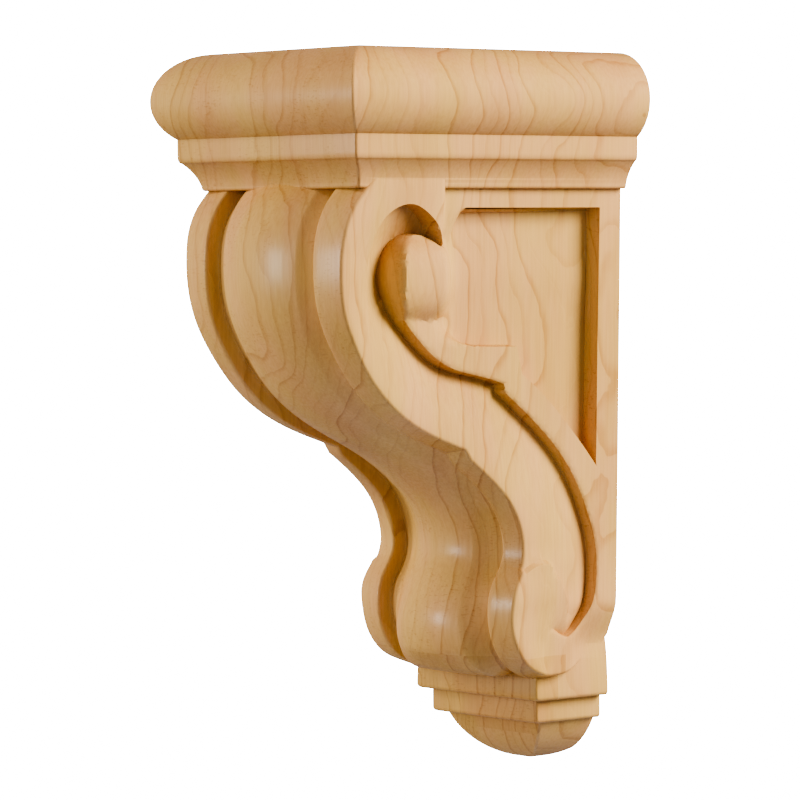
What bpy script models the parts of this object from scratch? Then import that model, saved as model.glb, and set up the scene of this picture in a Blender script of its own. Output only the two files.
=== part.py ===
"""Carved maple corbel bracket: one glued-up block, carved all over and cut flat at the back.

Frame: metres, +Z up. X is the width, and the carving is symmetric about X = 0. The front faces -Y,
and the flat back lies in the plane Y = 0. The origin is the middle of the back.

The body between the cap and the base is one closed skin. Its front is a sheet that follows the
S-shaped profile downwards and the cross-section of bands, grooves and roll sideways. Each side is a
relief: a height X over the side elevation (Y, Z). The cap and the base are stacks of mouldings with
mitred corners, joined to the body by Boolean unions.
"""
import math

import bpy
import bmesh
import numpy as np
from mathutils.geometry import delaunay_2d_cdt

MM = 0.001

# Heights of the main levels, measured from the middle of the back.
TOP_Z = 165.0 * MM
FASCIA_TOP_Z = 126.3 * MM
LIP_UNDER_Z = 102.3 * MM
BLOCK_UNDER_Z = -133.6 * MM
PLINTH_UNDER_Z = -144.6 * MM
TIP_Z = -165.3 * MM

# Drop from one moulding to the next where they meet on one level.
SEAM = 0.3 * MM

# Cap: each moulding is a rectangle on the wall, deeper than its half-width by one constant.
CAP_EXTRA_DEPTH = 101.1 * MM
BULLNOSE_RADIUS = 21.7 * MM
BULLNOSE_CENTRE_X = 52.8 * MM
BULLNOSE_STEPS = 11
FASCIA_X = 65.6 * MM
FASCIA_EDGE = 3.2 * MM
FASCIA_EDGE_STEPS = 3
COVE_TOP_X = 64.3 * MM
COVE_TOP_Z = 115.0 * MM
COVE_RADIUS = 21.8 * MM
COVE_TOP_SLOPE = math.radians(48.0)
COVE_LOW_SLOPE = math.radians(14.0)
COVE_STEPS = 5
LIP_EDGE = 1.2 * MM

# Base: two stepped blocks and a drop whose faces are arcs.
BLOCK_X = 43.3 * MM
BLOCK_WAIST_X = 42.1 * MM
BLOCK_WAIST_Z = -110.7 * MM
BLOCK_TOP_X = 41.0 * MM
BLOCK_TOP_Z = -104.0 * MM
BLOCK_EXTRA_DEPTH = 1.0 * MM
PLINTH_X = 37.7 * MM
PLINTH_EXTRA_DEPTH = 1.6 * MM
STEP_EDGE = 2.0 * MM
DROP_X = 33.0 * MM
DROP_CENTRE_Y = -12.0 * MM
DROP_DEPTH_SCALE = 0.65
DROP_STEPS = 9

# Cross-section of the front: half-widths, and heights above the line of the bands' outer edge.
GROOVE_WALL_X = 38.7 * MM
GROOVE_FLOOR_WIDTH = 2.7 * MM
BAND_LEAST_WIDTH = 6.0 * MM
BAND_INNER_RISE = 1.8 * MM
GROOVE_FLOOR_RISE = -4.6 * MM
FLANK_HOLLOW = 2.4 * MM
EDGE_ROUND = 1.6 * MM
ROLL_STEPS = 6

# The roll along the profile: Z, half-width, height of its crown, height of its shoulder (mm).
ROLL_STATIONS = [(110.0, 26.6, 4.5, 0.9), (70.0, 26.6, 4.8, 0.9), (20.0, 24.5, 5.0, 1.4),
                 (-20.0, 21.5, 5.2, 2.0), (-60.0, 19.6, 5.4, 2.4), (-92.0, 21.5, 4.8, 1.2),
                 (-108.0, 23.4, 4.0, 0.6), (-118.0, 24.6, 1.8, 0.0), (-122.5, 25.0, 0.4, 0.0)]

# The S-shaped profile at the outer edge of the bands, as (Y, Z) in millimetres.
BELLY_POINTS = [(-149.0, 108.5), (-154.8, 102.3), (-161.4, 94.8), (-166.6, 84.0), (-168.7, 67.5),
                (-166.4, 48.0), (-158.4, 30.4), (-143.6, 11.0), (-123.0, -3.9), (-93.4, -15.6)]
SCROLL_POINTS = [(-90.4, -20.3), (-77.0, -30.6), (-65.9, -42.2), (-60.0, -56.0), (-60.4, -68.5),
                 (-66.8, -80.0), (-68.9, -91.5), (-66.2, -104.5), (-57.8, -115.7), (-44.0, -121.1),
                 (-28.6, -120.3), (-14.0, -115.4), (-2.0, -110.4)]

# The roll runs smoothly past the notch, and hangs lower than the bands at its round end.
ROLL_POINTS = BELLY_POINTS[:-1] + [
    (-94.5, -18.6), (-77.0, -30.6), (-65.9, -42.2), (-60.0, -56.0), (-60.4, -68.5), (-65.4, -79.0),
    (-70.0, -90.0), (-71.9, -100.0), (-69.8, -110.5), (-63.6, -118.9), (-54.0, -122.3), (-40.0, -121.6),
    (-26.0, -118.6), (-2.0, -110.4)]
ROLL_MIDDLE = 9
PATH_STEPS = 2000
NOTCH_GAP = 8
BELLY_ROWS = 32
SCROLL_ROWS = 40

# Side faces: the border plane leans in towards the foot of the bracket.
BORDER_X = 51.6 * MM
BORDER_LEAN = 0.0234
PANEL_DEPTH = 8.5 * MM
PANEL_TOP_Z = 93.3 * MM
PANEL_BACK_Y = -13.3 * MM
WALL_DRAFT = 0.8 * MM
RAMP_FADE = 24.0 * MM
RAMP_STEP = 1.2 * MM
DISC_STEP = 0.9 * MM
DISC_FADE = 24.0 * MM
SIDE_GRID = 7.0 * MM

# The long carved wall of the side, in two runs that meet at a notch: from under the lower scroll
# round its hook and up to the notch, then up the strand, round the knob and into the cap. Each
# point gives Y, Z, the level of the surface in front of the wall, and the width of the step (mm).
WALL_HEEL_POINTS = [(-48.0, -145.0, 0.8, 12.0), (-44.0, -118.0, 0.6, 12.0)]
WALL_FOOT_POINTS = [(-42.0, -108.0, 0.2, 9.0), (-39.5, -100.4, -0.8, 1.0), (-31.0, -103.4, -4.0, 0.8),
                    (-20.0, -97.5, -6.0, 0.8), (-14.4, -88.0, -7.2, 0.8), (-12.5, -74.0, -7.2, 0.8),
                    (-14.0, -60.0, -6.8, 0.8), (-20.0, -43.7, -6.5, 0.8), (-30.0, -26.2, -6.5, 0.8),
                    (-50.0, -5.6, -6.8, 0.8), (-70.6, 10.4, -7.2, 0.8)]
WALL_HEAD_POINTS = [(-70.2, 13.6, -7.2, 0.8), (-82.5, 16.9, -7.6, 0.8), (-102.5, 21.9, -8.0, 0.8),
                    (-115.8, 29.9, -8.0, 0.8), (-124.8, 38.6, -8.4, 0.8), (-132.7, 48.2, -9.0, 0.8),
                    (-136.2, 56.5, -9.5, 0.8), (-136.9, 65.0, -9.5, 0.8), (-134.4, 73.5, -9.0, 0.8),
                    (-128.4, 80.2, -8.5, 0.8), (-121.0, 82.0, -8.0, 0.8), (-115.6, 80.4, -8.0, 0.8),
                    (-110.4, 76.6, -8.0, 1.0)]
WALL_TAIL_POINTS = [(-109.4, 84.0, 4.5, 8.0), (-108.6, 96.0, 4.5, 6.0), (-107.6, 116.0, 4.5, 5.0)]

# Where the outer band of the volute stands over the ramp inside it: Y, Z, and the share of the
# band's full height that it keeps there (in thousandths, as the tables are in millimetres).
RAMP_POINTS = [(-147.6, 46.0, 0.0), (-150.6, 60.0, 250.0), (-150.2, 74.0, 450.0), (-145.0, 86.9, 700.0),
               (-136.0, 93.6, 850.0), (-128.4, 94.8, 1000.0), (-121.8, 92.3, 1000.0), (-116.7, 88.5, 1000.0),
               (-113.0, 84.0, 1000.0), (-111.0, 77.4, 1000.0)]

# The raised disc of the lower scroll: Y, Z and the height of its edge (mm).
DISC_POINTS = [(-75.0, -78.0, 2.2), (-59.1, -71.4, 2.0), (-54.5, -69.4, 1.7), (-48.2, -68.2, 1.3),
               (-42.7, -68.9, 0.9), (-39.1, -70.5, 0.5), (-33.6, -74.2, 0.0)]

# The lower edge of the sunk panel, in two runs that meet at a cusp: Y, Z, width of the step (mm).
PANEL_EDGE_FRONT = [(-120.0, 42.0, 22.0), (-101.0, 36.3, 8.0), (-91.0, 32.6, 2.0),
                    (-76.0, 31.2, 0.8), (-62.5, 31.0, 0.8)]
PANEL_EDGE_BACK = [(-59.2, 18.4, 0.8), (-46.0, 8.4, 0.8), (-30.0, -6.8, 0.8), (-20.5, -16.8, 0.8),
                   (-13.7, -24.6, 0.8)]

# Height of the outer band above the border plane, by Z (mm).
BAND_RISE_STATIONS = [(-125.0, 4.2), (-104.0, 5.0), (-88.0, 4.6), (-72.0, 2.6),
                      (-60.0, 1.6), (-16.0, 0.6), (16.0, 2.0), (42.0, 3.2), (70.0, 4.0), (84.0, 4.5)]

# Knob in the eye of the volute: the round end of a strand that lies along the side.
KNOB_Y = -121.5 * MM
KNOB_Z = 62.2 * MM
KNOB_REACH_Y = 15.8 * MM
KNOB_REACH_Z = 21.6 * MM
KNOB_POWER = 2.5
KNOB_BARREL_POWER = 2.0
KNOB_BASE = -8.5 * MM
KNOB_RISE = 15.5 * MM
KNOB_RIM = 3.2 * MM
KNOB_TAIL_Y = -91.0 * MM

# The side sweeps in at the foot of the back edge to meet the block below.
SWEEP_TOP_Z = -88.0 * MM
SWEEP_LOW_Z = -111.5 * MM
SWEEP_FRONT_Y = -33.0 * MM
SWEEP_BACK_Y = -11.0 * MM
SWEEP_FOOT_X = 41.6 * MM

MAPLE_COLOUR = (0.60, 0.345, 0.15, 1.0)
MAPLE_ROUGHNESS = 0.45
SMOOTH_ANGLE = math.radians(38.0)


def clear_scene():
    """Remove every object of the open scene."""
    for item in list(bpy.data.objects):
        bpy.data.objects.remove(item, do_unlink=True)


def smooth(low, high, value):
    """Smoothstep: 0 below low, 1 above high, and 3u^2 - 2u^3 between."""
    u = np.clip((value - low) / (high - low), 0.0, 1.0)
    return u * u * (3.0 - 2.0 * u)


def stations(table, at):
    """Read a table of (Z, value, ...) rows, given in millimetres, smoothly at heights in metres."""
    table = np.array(sorted(table)) * MM
    i = np.clip(np.searchsorted(table[:, 0], at) - 1, 0, len(table) - 2)
    share = smooth(table[i, 0], table[i + 1, 0], at)
    return [column[i] + (column[i + 1] - column[i]) * share for column in table[:, 1:].T]


def spline(points, count):
    """Natural cubic spline through points in millimetres, read at evenly spaced chord lengths."""
    points = np.array(points) * MM
    knots = np.concatenate([[0.0], np.cumsum(np.linalg.norm(np.diff(points[:, :2], axis=0), axis=1))])
    gaps = np.diff(knots)
    size = len(points)
    matrix = np.eye(size)
    right = np.zeros_like(points)
    for i in range(1, size - 1):
        matrix[i, i - 1:i + 2] = gaps[i - 1], 2.0 * (gaps[i - 1] + gaps[i]), gaps[i]
        slope_change = (points[i + 1] - points[i]) / gaps[i] - (points[i] - points[i - 1]) / gaps[i - 1]
        right[i] = 6.0 * slope_change
    bend = np.linalg.solve(matrix, right)
    at = np.linspace(0.0, knots[-1], count)
    i = np.clip(np.searchsorted(knots, at, side="right") - 1, 0, size - 2)
    before = (knots[i + 1] - at)[:, None]
    after = (at - knots[i])[:, None]
    gap = gaps[i][:, None]
    curve = (bend[i] * before ** 3 + bend[i + 1] * after ** 3) / (6.0 * gap)
    curve += (points[i] / gap - bend[i] * gap / 6.0) * before
    curve += (points[i + 1] / gap - bend[i + 1] * gap / 6.0) * after
    return curve


def nearest_on(line, places):
    """Distance from each place to a polyline, and the line's own row of values nearest to it."""
    best = np.full(len(places), np.inf)
    values = np.zeros((len(places), line.shape[1]))
    for start, end in zip(line[:-1], line[1:]):
        step = end[:2] - start[:2]
        share = np.clip((places - start[:2]) @ step / (step @ step), 0.0, 1.0)
        gap = np.linalg.norm(places - start[:2] - share[:, None] * step, axis=1)
        closer = gap < best
        best[closer] = gap[closer]
        values[closer] = (start + share[:, None] * (end - start))[closer]
    return best, values


def inside(loop, places):
    """True for places inside a closed polygon, by the edges that a level ray crosses."""
    result = np.zeros(len(places), dtype=bool)
    for (y0, z0), (y1, z1) in zip(loop, np.roll(loop, -1, axis=0)):
        if z0 == z1:
            continue
        crosses = (z0 > places[:, 1]) != (z1 > places[:, 1])
        result ^= crosses & (places[:, 0] < (y1 - y0) * (places[:, 1] - z0) / (z1 - z0) + y0)
    return result


def shifted(path, gap):
    """A polyline moved sideways to its left by a gap, with mitred corners."""
    along = np.diff(path[:, :2], axis=0)
    along /= np.linalg.norm(along, axis=1)[:, None]
    left = np.stack([-along[:, 1], along[:, 0]], axis=1)
    first = np.concatenate([left[:1], left])
    last = np.concatenate([left, left[-1:]])
    mitre = (first + last) / (1.0 + np.sum(first * last, axis=1))[:, None]
    return path[:, :2] + mitre * gap


def outward_of(path):
    """Unit normals of a downward (Y, Z) path that point out of the front."""
    along = np.gradient(path, axis=0)
    along /= np.linalg.norm(along, axis=1)[:, None]
    return np.stack([along[:, 1], -along[:, 0]], axis=1)


class SideRelief:
    """The carved relief of one side: border, strand, sunk panel, knob, ramp, channel and band."""

    def __init__(self, outline):
        self.outline = outline
        self.wall_foot = spline(WALL_FOOT_POINTS, 48)
        self.wall_head = spline(WALL_HEAD_POINTS, 48)
        self.wall = np.concatenate([np.array(WALL_HEEL_POINTS) * MM, self.wall_foot, self.wall_head,
                                    np.array(WALL_TAIL_POINTS) * MM])
        self.ramp = spline(RAMP_POINTS, 26)
        self.edge = np.concatenate([spline(PANEL_EDGE_FRONT, 12), spline(PANEL_EDGE_BACK, 12)])
        far = 0.3
        self.behind = np.concatenate([self.wall[:, :2], [(far, far), (far, -far), (self.wall[0, 0], -far)]])
        top = PANEL_TOP_Z + WALL_DRAFT / 2.0
        self.panel = np.concatenate([self.edge[:, :2], [(PANEL_BACK_Y, top), (-175.0 * MM, top)]])
        self.disc = spline(DISC_POINTS, 16)
        self.disc_loop = np.concatenate([self.disc[:, :2], [(-33.6 * MM, -0.2), (-0.2, -0.2)]])
        self.volute = np.concatenate([self.ramp[:, :2], [(-110.0 * MM, 70.0 * MM), (KNOB_Y, KNOB_Z)]])

    def border(self, y, z):
        """The leaning border plane, with its sweep inwards at the foot of the back edge."""
        plane = BORDER_X + BORDER_LEAN * z
        share = smooth(SWEEP_TOP_Z, SWEEP_LOW_Z, z) * smooth(SWEEP_FRONT_Y, SWEEP_BACK_Y, y)
        return plane - (plane - SWEEP_FOOT_X) * share

    def behind_wall(self, places):
        """Levels behind the wall: border and strand at zero, the sunk panel, and the knob."""
        y, z = places.T
        gap, values = nearest_on(self.edge, places)
        signed = np.where(inside(self.panel, places), gap, -gap)
        sunk = smooth(-0.5, 0.5, signed / values[:, 2])
        top_width = WALL_DRAFT + 24.0 * MM * smooth(-92.0 * MM, -103.0 * MM, y)
        sunk = np.minimum(sunk, smooth(0.0, 1.0, (PANEL_TOP_Z + WALL_DRAFT / 2.0 - z) / top_width))
        sunk = np.minimum(sunk, smooth(-0.5, 0.5, (PANEL_BACK_Y - y) / WALL_DRAFT))
        depth = PANEL_DEPTH * (1.0 - 0.8 * smooth(-90.0 * MM, -114.0 * MM, y))
        level = -depth * sunk
        across = np.abs(z - KNOB_Z) / KNOB_REACH_Z
        along = np.maximum(0.0, KNOB_Y - y) / KNOB_REACH_Y
        reach = (across ** KNOB_POWER + along ** KNOB_POWER) ** (1.0 / KNOB_POWER)
        rim = np.clip((1.0 - reach) * KNOB_REACH_Y / KNOB_RIM, 0.0, 1.0)
        barrel = np.clip(1.0 - across ** KNOB_BARREL_POWER, 0.0, 1.0) ** (1.0 / KNOB_BARREL_POWER)
        barrel *= np.sqrt(rim * (2.0 - rim))
        tail = smooth(KNOB_TAIL_Y, KNOB_Y + 9.0 * MM, y)
        knob = KNOB_BASE + KNOB_RISE * barrel - (KNOB_BASE + KNOB_RISE + PANEL_DEPTH) * (1.0 - tail)
        return np.where(reach < 1.0, np.maximum(level, knob), level)

    def before_wall(self, places):
        """Levels in front of the wall: the band falls from its outer edge to the carved channel."""
        rise, = stations(BAND_RISE_STATIONS, places[:, 1])
        to_edge, _ = nearest_on(self.outline, places)
        to_wall, values = nearest_on(self.wall, places)
        share = to_edge / np.maximum(to_edge + to_wall, 1e-9)
        soft = smooth(1.0 * MM, 8.0 * MM, values[:, 3])
        fall = share ** 1.5 * (1.0 - soft) + smooth(0.0, 1.0, share) * soft
        level = rise + (np.minimum(values[:, 2], rise) - rise) * fall
        gap, kept = nearest_on(self.ramp, places)
        signed = np.where(inside(self.volute, places), gap, -gap)
        kept = kept[:, 2] * smooth(RAMP_FADE + 10.0 * MM, RAMP_FADE, gap)
        within = smooth(-0.5, 0.5, signed / WALL_DRAFT)
        level += (rise - level) * kept * (1.0 - within) - RAMP_STEP * 4.0 * kept * (1.0 - kept) * within
        gap, edge = nearest_on(self.disc, places)
        signed = np.where(inside(self.disc_loop, places), gap, -gap)
        return level + edge[:, 2] * smooth(-0.5, 0.5, signed / DISC_STEP) * smooth(DISC_FADE, 0.0, gap)

    def height(self, places):
        """The X of the right side over each (Y, Z) place."""
        gap, values = nearest_on(self.wall, places)
        signed = np.where(inside(self.behind, places), gap, -gap)
        share = smooth(-0.5, 0.5, signed / values[:, 3])
        level = self.before_wall(places) * (1.0 - share) + self.behind_wall(places) * share
        return self.border(places[:, 0], places[:, 1]) + level

    def creases(self):
        """Lines along the top and the foot of every carved wall."""
        half = WALL_DRAFT / 2.0
        walls = [self.wall_foot[self.wall_foot[:, 3] < 1.05 * MM], self.wall_head, self.ramp[6:]]
        firm = self.edge[self.edge[:, 2] < 1.0 * MM]
        walls.append(np.concatenate([firm[:, :2], [(PANEL_BACK_Y, PANEL_TOP_Z), (-94.0 * MM, PANEL_TOP_Z)]]))
        return [shifted(wall, gap) for wall in walls for gap in (-half, half)]

    def dense_places(self):
        """Extra places along the rim of the disc and the rim of the knob."""
        turn = np.radians(np.arange(95.0, 271.0, 12.5))
        across = np.sign(np.sin(turn)) * np.abs(np.sin(turn)) ** (2.0 / KNOB_POWER)
        along = np.abs(np.cos(turn)) ** (2.0 / KNOB_POWER)
        rims = [np.column_stack([KNOB_Y - (KNOB_REACH_Y - room) * along,
                                 KNOB_Z + (KNOB_REACH_Z - room) * across]) for room in (1.0 * MM, KNOB_RIM)]
        return np.concatenate([shifted(self.disc, gap * DISC_STEP) for gap in (-0.5, 0.5)] + rims)


def section_shape(edge_x, z):
    """Half of the front's cross-section for every row: half-widths and rises, from the middle out.

    The roll is a parabola from its crown to its shoulder. A hollow flank leads down to the groove,
    whose wall rises to the band. The band falls gently to its outer edge, which is rounded.
    """
    shoulder_x, crown, shoulder = (value[:, None] for value in stations(ROLL_STATIONS, z))
    edge_x = edge_x[:, None]
    share = np.linspace(0.0, 1.0, ROLL_STEPS + 1)[None]
    roll_x = shoulder_x * share
    roll = crown - (crown - shoulder) * share ** 2
    wall_x = np.minimum(GROOVE_WALL_X, edge_x - BAND_LEAST_WIDTH)
    foot_x = wall_x - GROOVE_FLOOR_WIDTH
    share = np.array([[1.0, 2.0]]) / 3.0
    flank_x = shoulder_x + (foot_x - shoulder_x) * share
    flank = shoulder + (GROOVE_FLOOR_RISE - shoulder) * share - FLANK_HOLLOW * share * (1.0 - share)
    soft = EDGE_ROUND * (1.0 - math.cos(math.pi / 4.0))
    low = GROOVE_FLOOR_RISE
    high = BAND_INNER_RISE
    columns = [(foot_x, low), (foot_x + 1.7 * MM, low - 0.5 * MM), (wall_x - 0.2 * MM, low + 0.2 * MM),
               (wall_x + 0.1 * MM, high - 1.3 * MM), (wall_x + 0.5 * MM, high - 0.4 * MM),
               (wall_x + 1.4 * MM, high),
               (edge_x - EDGE_ROUND, 0.0), (edge_x - soft, -soft), (edge_x, -EDGE_ROUND)]
    x = [roll_x, flank_x] + [column_x for column_x, _ in columns]
    rise = [roll, flank] + [column_rise + 0.0 * edge_x for _, column_rise in columns]
    return np.concatenate(x, axis=1), np.concatenate(rise, axis=1)


def front_grid(bands, roll, floor, edge_x):
    """Points of the right half of the front, one row of columns for every step down the profile.

    Each column leaves its path along the path's outward normal. Over the roll's flank the path turns
    from the roll's into the groove's, and over the groove's floor it turns into the bands'.
    """
    x, rise = section_shape(edge_x, roll[:, 1])
    fade = smooth(-4.0 * MM, -24.0 * MM, roll[:, 0])[:, None]
    rise[:, :-3] *= fade
    shoulder_x = stations(ROLL_STATIONS, roll[:, 1])[0][:, None]
    on_floor = smooth(shoulder_x, GROOVE_WALL_X - GROOVE_FLOOR_WIDTH, x)[..., None]
    on_band = smooth(GROOVE_WALL_X - GROOVE_FLOOR_WIDTH, GROOVE_WALL_X, x)[..., None]
    shares = (1.0 - on_floor, on_floor * (1.0 - on_band), on_band)
    line = sum(share * path[:, None] for share, path in zip(shares, (roll, floor, bands)))
    normal = sum(share * outward_of(path)[:, None] for share, path in zip(shares, (roll, floor, bands)))
    normal /= np.linalg.norm(normal, axis=2)[..., None]
    yz = line + normal * rise[..., None]
    return np.concatenate([x[..., None], yz], axis=2)


def profile_paths():
    """Three paths down the profile, row by row: the bands' stepped one, the roll's, and the grooves'."""
    bands = np.concatenate([spline(BELLY_POINTS, BELLY_ROWS), spline(SCROLL_POINTS, SCROLL_ROWS)])
    floor_points = ROLL_POINTS[:ROLL_MIDDLE + 1] + SCROLL_POINTS[1:]
    paths = [bands]
    for points in (ROLL_POINTS, floor_points):
        fine = spline(points, PATH_STEPS)
        middle = np.argmin(np.linalg.norm(fine - np.array(points[ROLL_MIDDLE]) * MM, axis=1))
        rows = np.concatenate([np.linspace(0, middle, BELLY_ROWS),
                               np.linspace(middle + NOTCH_GAP, PATH_STEPS - 1, SCROLL_ROWS)])
        paths.append(fine[rows.astype(int)])
    return paths


def side_surface(relief, loop):
    """Triangles over the side elevation that keep every crease line, and their (Y, Z) places."""
    fixed = [loop] + relief.creases()
    edges = [(i, (i + 1) % len(loop)) for i in range(len(loop))]
    start = len(loop)
    for line in fixed[1:]:
        edges += [(start + i, start + i + 1) for i in range(len(line) - 1)]
        start += len(line)
    fixed = np.concatenate(fixed)
    low = loop.min(axis=0)
    high = loop.max(axis=0)
    y, z = np.meshgrid(np.arange(low[0], high[0], SIDE_GRID), np.arange(low[1], high[1], SIDE_GRID))
    y = y + 0.5 * SIDE_GRID * (np.arange(len(y)) % 2)[:, None]
    grid = np.stack([y.ravel(), z.ravel()], axis=1)
    kept = fixed
    for more, room in ((relief.dense_places(), 0.4 * MM), (grid, 0.45 * SIDE_GRID)):
        more = more[inside(loop, more)]
        kept = np.concatenate([kept, more[spaced(kept, more, room)]])
    verts, _, faces, _, _, _ = delaunay_2d_cdt([tuple(place) for place in kept], edges, [], 0, 1e-7, False)
    verts = np.array([tuple(place) for place in verts])
    faces = np.array(faces)
    return verts, faces[inside(loop, verts[faces].mean(axis=1))]


def spaced(taken, more, room):
    """True for the places of more that have no taken place in their cell of a net or in one beside it."""
    taken = np.floor(taken / room).astype(int) @ (10000, 1)
    more = np.floor(more / room).astype(int) @ (10000, 1)
    beside = [across * 10000 + up for across in (-1, 0, 1) for up in (-1, 0, 1)]
    return ~np.any([np.isin(more + step, taken) for step in beside], axis=0)


def add_object(name, shape):
    """Put a bmesh into a new object of the scene, shaded smooth over its gentle angles."""
    mesh = bpy.data.meshes.new(name)
    shape.to_mesh(mesh)
    shape.free()
    mesh.shade_smooth()
    mesh.set_sharp_from_angle(angle=SMOOTH_ANGLE)
    item = bpy.data.objects.new(name, mesh)
    bpy.context.collection.objects.link(item)
    return item


def build_body():
    """The body between cap and base: the front sheet, the two side reliefs, the back and the top."""
    bands, roll, floor = profile_paths()
    front = bands - outward_of(bands) * EDGE_ROUND
    back = np.array([(0.0, z) for z in np.linspace(front[-1, 1] + 8.0 * MM, front[0, 1], 24)])
    top = np.array([(y, front[0, 1]) for y in np.linspace(0.0, front[0, 0], 18)[1:-1]])
    loop = np.concatenate([front, back, top])
    relief = SideRelief(front)
    places, triangles = side_surface(relief, loop)
    heights = relief.height(places)
    rows = len(front)
    half = front_grid(bands, roll, floor, heights[:rows])[:, :-1]
    middle = np.concatenate([half[:, :0:-1] * (-1.0, 1.0, 1.0), half], axis=1)
    right = np.column_stack([heights, places])
    count = len(places)
    width = middle.shape[1]
    index = 2 * count + np.arange(rows * width).reshape(rows, width)
    index = np.column_stack([count + np.arange(rows), index, np.arange(rows)])
    sheet = np.stack([index[:-1, :-1], index[1:, :-1], index[1:, 1:], index[:-1, 1:]], axis=2).reshape(-1, 4)
    ring = np.arange(rows, len(loop))
    strip = np.column_stack([ring[:-1] + count, ring[1:] + count, ring[1:], ring[:-1]])
    faces = triangles.tolist() + (triangles[:, ::-1] + count).tolist() + sheet.tolist() + strip.tolist()
    faces.append([index[-1, 0], ring[0] + count, ring[0], *index[-1, :0:-1]])
    faces.append([ring[-1] + count, *index[0], ring[-1]])
    body = bmesh.new()
    points = np.concatenate([right, right * (-1.0, 1.0, 1.0), middle.reshape(-1, 3)])
    corners = [body.verts.new(point) for point in points]
    for face in faces:
        body.faces.new([corners[i] for i in face])
    bmesh.ops.triangulate(body, faces=[face for face in body.faces if len(face.verts) > 3])
    return body


def stack_of_rectangles(name, rings, tip=None):
    """A closed solid through level rectangles given as (half-width, front Y, back Y, Z), top first."""
    shape = bmesh.new()
    loops = []
    for half, front, back, z in rings:
        corners = [(-half, front, z), (half, front, z), (half, back, z), (-half, back, z)]
        loops.append([shape.verts.new(corner) for corner in corners])
    shape.faces.new(loops[0])
    for upper, lower in zip(loops, loops[1:]):
        for i in range(4):
            k = (i + 1) % 4
            shape.faces.new([upper[i], lower[i], lower[k], upper[k]])
    if tip is None:
        shape.faces.new(loops[-1][::-1])
    else:
        point = shape.verts.new(tip)
        for i in range(4):
            shape.faces.new([loops[-1][i], point, loops[-1][(i + 1) % 4]])
    return add_object(name, shape)


def as_guide(item):
    """Mark an object as a guide that only feeds a Boolean."""
    item.display_type = "WIRE"
    item.hide_render = True


def cap_stack():
    """Bullnose, fascia, cove and lip, swept round the front and both sides."""
    centre_z = TOP_Z - BULLNOSE_RADIUS
    low = math.asin((FASCIA_TOP_Z - centre_z) / BULLNOSE_RADIUS)
    turn = np.linspace(math.pi / 2.0, low, BULLNOSE_STEPS)
    nose = np.column_stack([BULLNOSE_CENTRE_X + BULLNOSE_RADIUS * np.cos(turn),
                            centre_z + BULLNOSE_RADIUS * np.sin(turn)])
    turn = np.linspace(0.0, math.pi / 2.0, FASCIA_EDGE_STEPS)
    edge = np.column_stack([FASCIA_X - (FASCIA_X - COVE_TOP_X) * (1.0 - np.cos(turn)),
                            COVE_TOP_Z + FASCIA_EDGE * (1.0 - np.sin(turn))])
    slope = np.linspace(COVE_TOP_SLOPE, COVE_LOW_SLOPE, COVE_STEPS)
    centre_x = COVE_TOP_X + COVE_RADIUS * math.cos(COVE_TOP_SLOPE)
    centre_z = COVE_TOP_Z - COVE_RADIUS * math.sin(COVE_TOP_SLOPE)
    cove = np.column_stack([centre_x - COVE_RADIUS * np.cos(slope), centre_z + COVE_RADIUS * np.sin(slope)])
    profile = np.concatenate([nose, [(FASCIA_X, FASCIA_TOP_Z - SEAM)], edge, cove[1:],
                              [(cove[-1, 0] - LIP_EDGE, LIP_UNDER_Z)]])
    return stack_of_rectangles("cap_guide", [(x, -x - CAP_EXTRA_DEPTH, 0.0, z) for x, z in profile])


def base_stack():
    """The waisted block, the plinth and the drop under the scroll."""
    rings = [(BLOCK_TOP_X, BLOCK_EXTRA_DEPTH, BLOCK_TOP_Z),
             (BLOCK_WAIST_X, BLOCK_EXTRA_DEPTH, BLOCK_WAIST_Z),
             (BLOCK_X - 0.4 * MM, BLOCK_EXTRA_DEPTH, BLOCK_UNDER_Z + 11.0 * MM),
             (BLOCK_X, BLOCK_EXTRA_DEPTH, BLOCK_UNDER_Z + STEP_EDGE),
             (BLOCK_X - STEP_EDGE, BLOCK_EXTRA_DEPTH, BLOCK_UNDER_Z),
             (PLINTH_X, PLINTH_EXTRA_DEPTH, BLOCK_UNDER_Z - SEAM),
             (PLINTH_X, PLINTH_EXTRA_DEPTH, PLINTH_UNDER_Z + STEP_EDGE),
             (PLINTH_X - STEP_EDGE, PLINTH_EXTRA_DEPTH, PLINTH_UNDER_Z)]
    rectangles = [(x, -x - extra, 0.0, z) for x, extra, z in rings]
    drop = PLINTH_UNDER_Z - SEAM - TIP_Z
    radius = (DROP_X ** 2 + drop ** 2) / (2.0 * drop)
    for down in np.linspace(0.0, 1.0, DROP_STEPS, endpoint=False):
        depth = drop * down ** 0.8
        half = math.sqrt(radius ** 2 - (radius - drop + depth) ** 2)
        reach = DROP_DEPTH_SCALE * half
        z = PLINTH_UNDER_Z - SEAM - depth
        rectangles.append((half, DROP_CENTRE_Y - reach, min(0.0, DROP_CENTRE_Y + reach), z))
    return stack_of_rectangles("base_guide", rectangles, (0.0, DROP_CENTRE_Y, TIP_Z))


def maple_material():
    """Clear-finished maple."""
    material = bpy.data.materials.new("maple")
    material.use_nodes = True
    shader = material.node_tree.nodes["Principled BSDF"]
    shader.inputs["Base Color"].default_value = MAPLE_COLOUR
    shader.inputs["Roughness"].default_value = MAPLE_ROUGHNESS
    shader.inputs["Metallic"].default_value = 0.0
    return material


def build_corbel():
    """The finished bracket: body, cap and base as one solid."""
    corbel = add_object("corbel", build_body())
    corbel.data.materials.append(maple_material())
    for guide in (cap_stack(), base_stack()):
        as_guide(guide)
        union = corbel.modifiers.new(guide.name, "BOOLEAN")
        union.operation = "UNION"
        union.solver = "EXACT"
        union.object = guide
    return corbel


clear_scene()
build_corbel()
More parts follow.
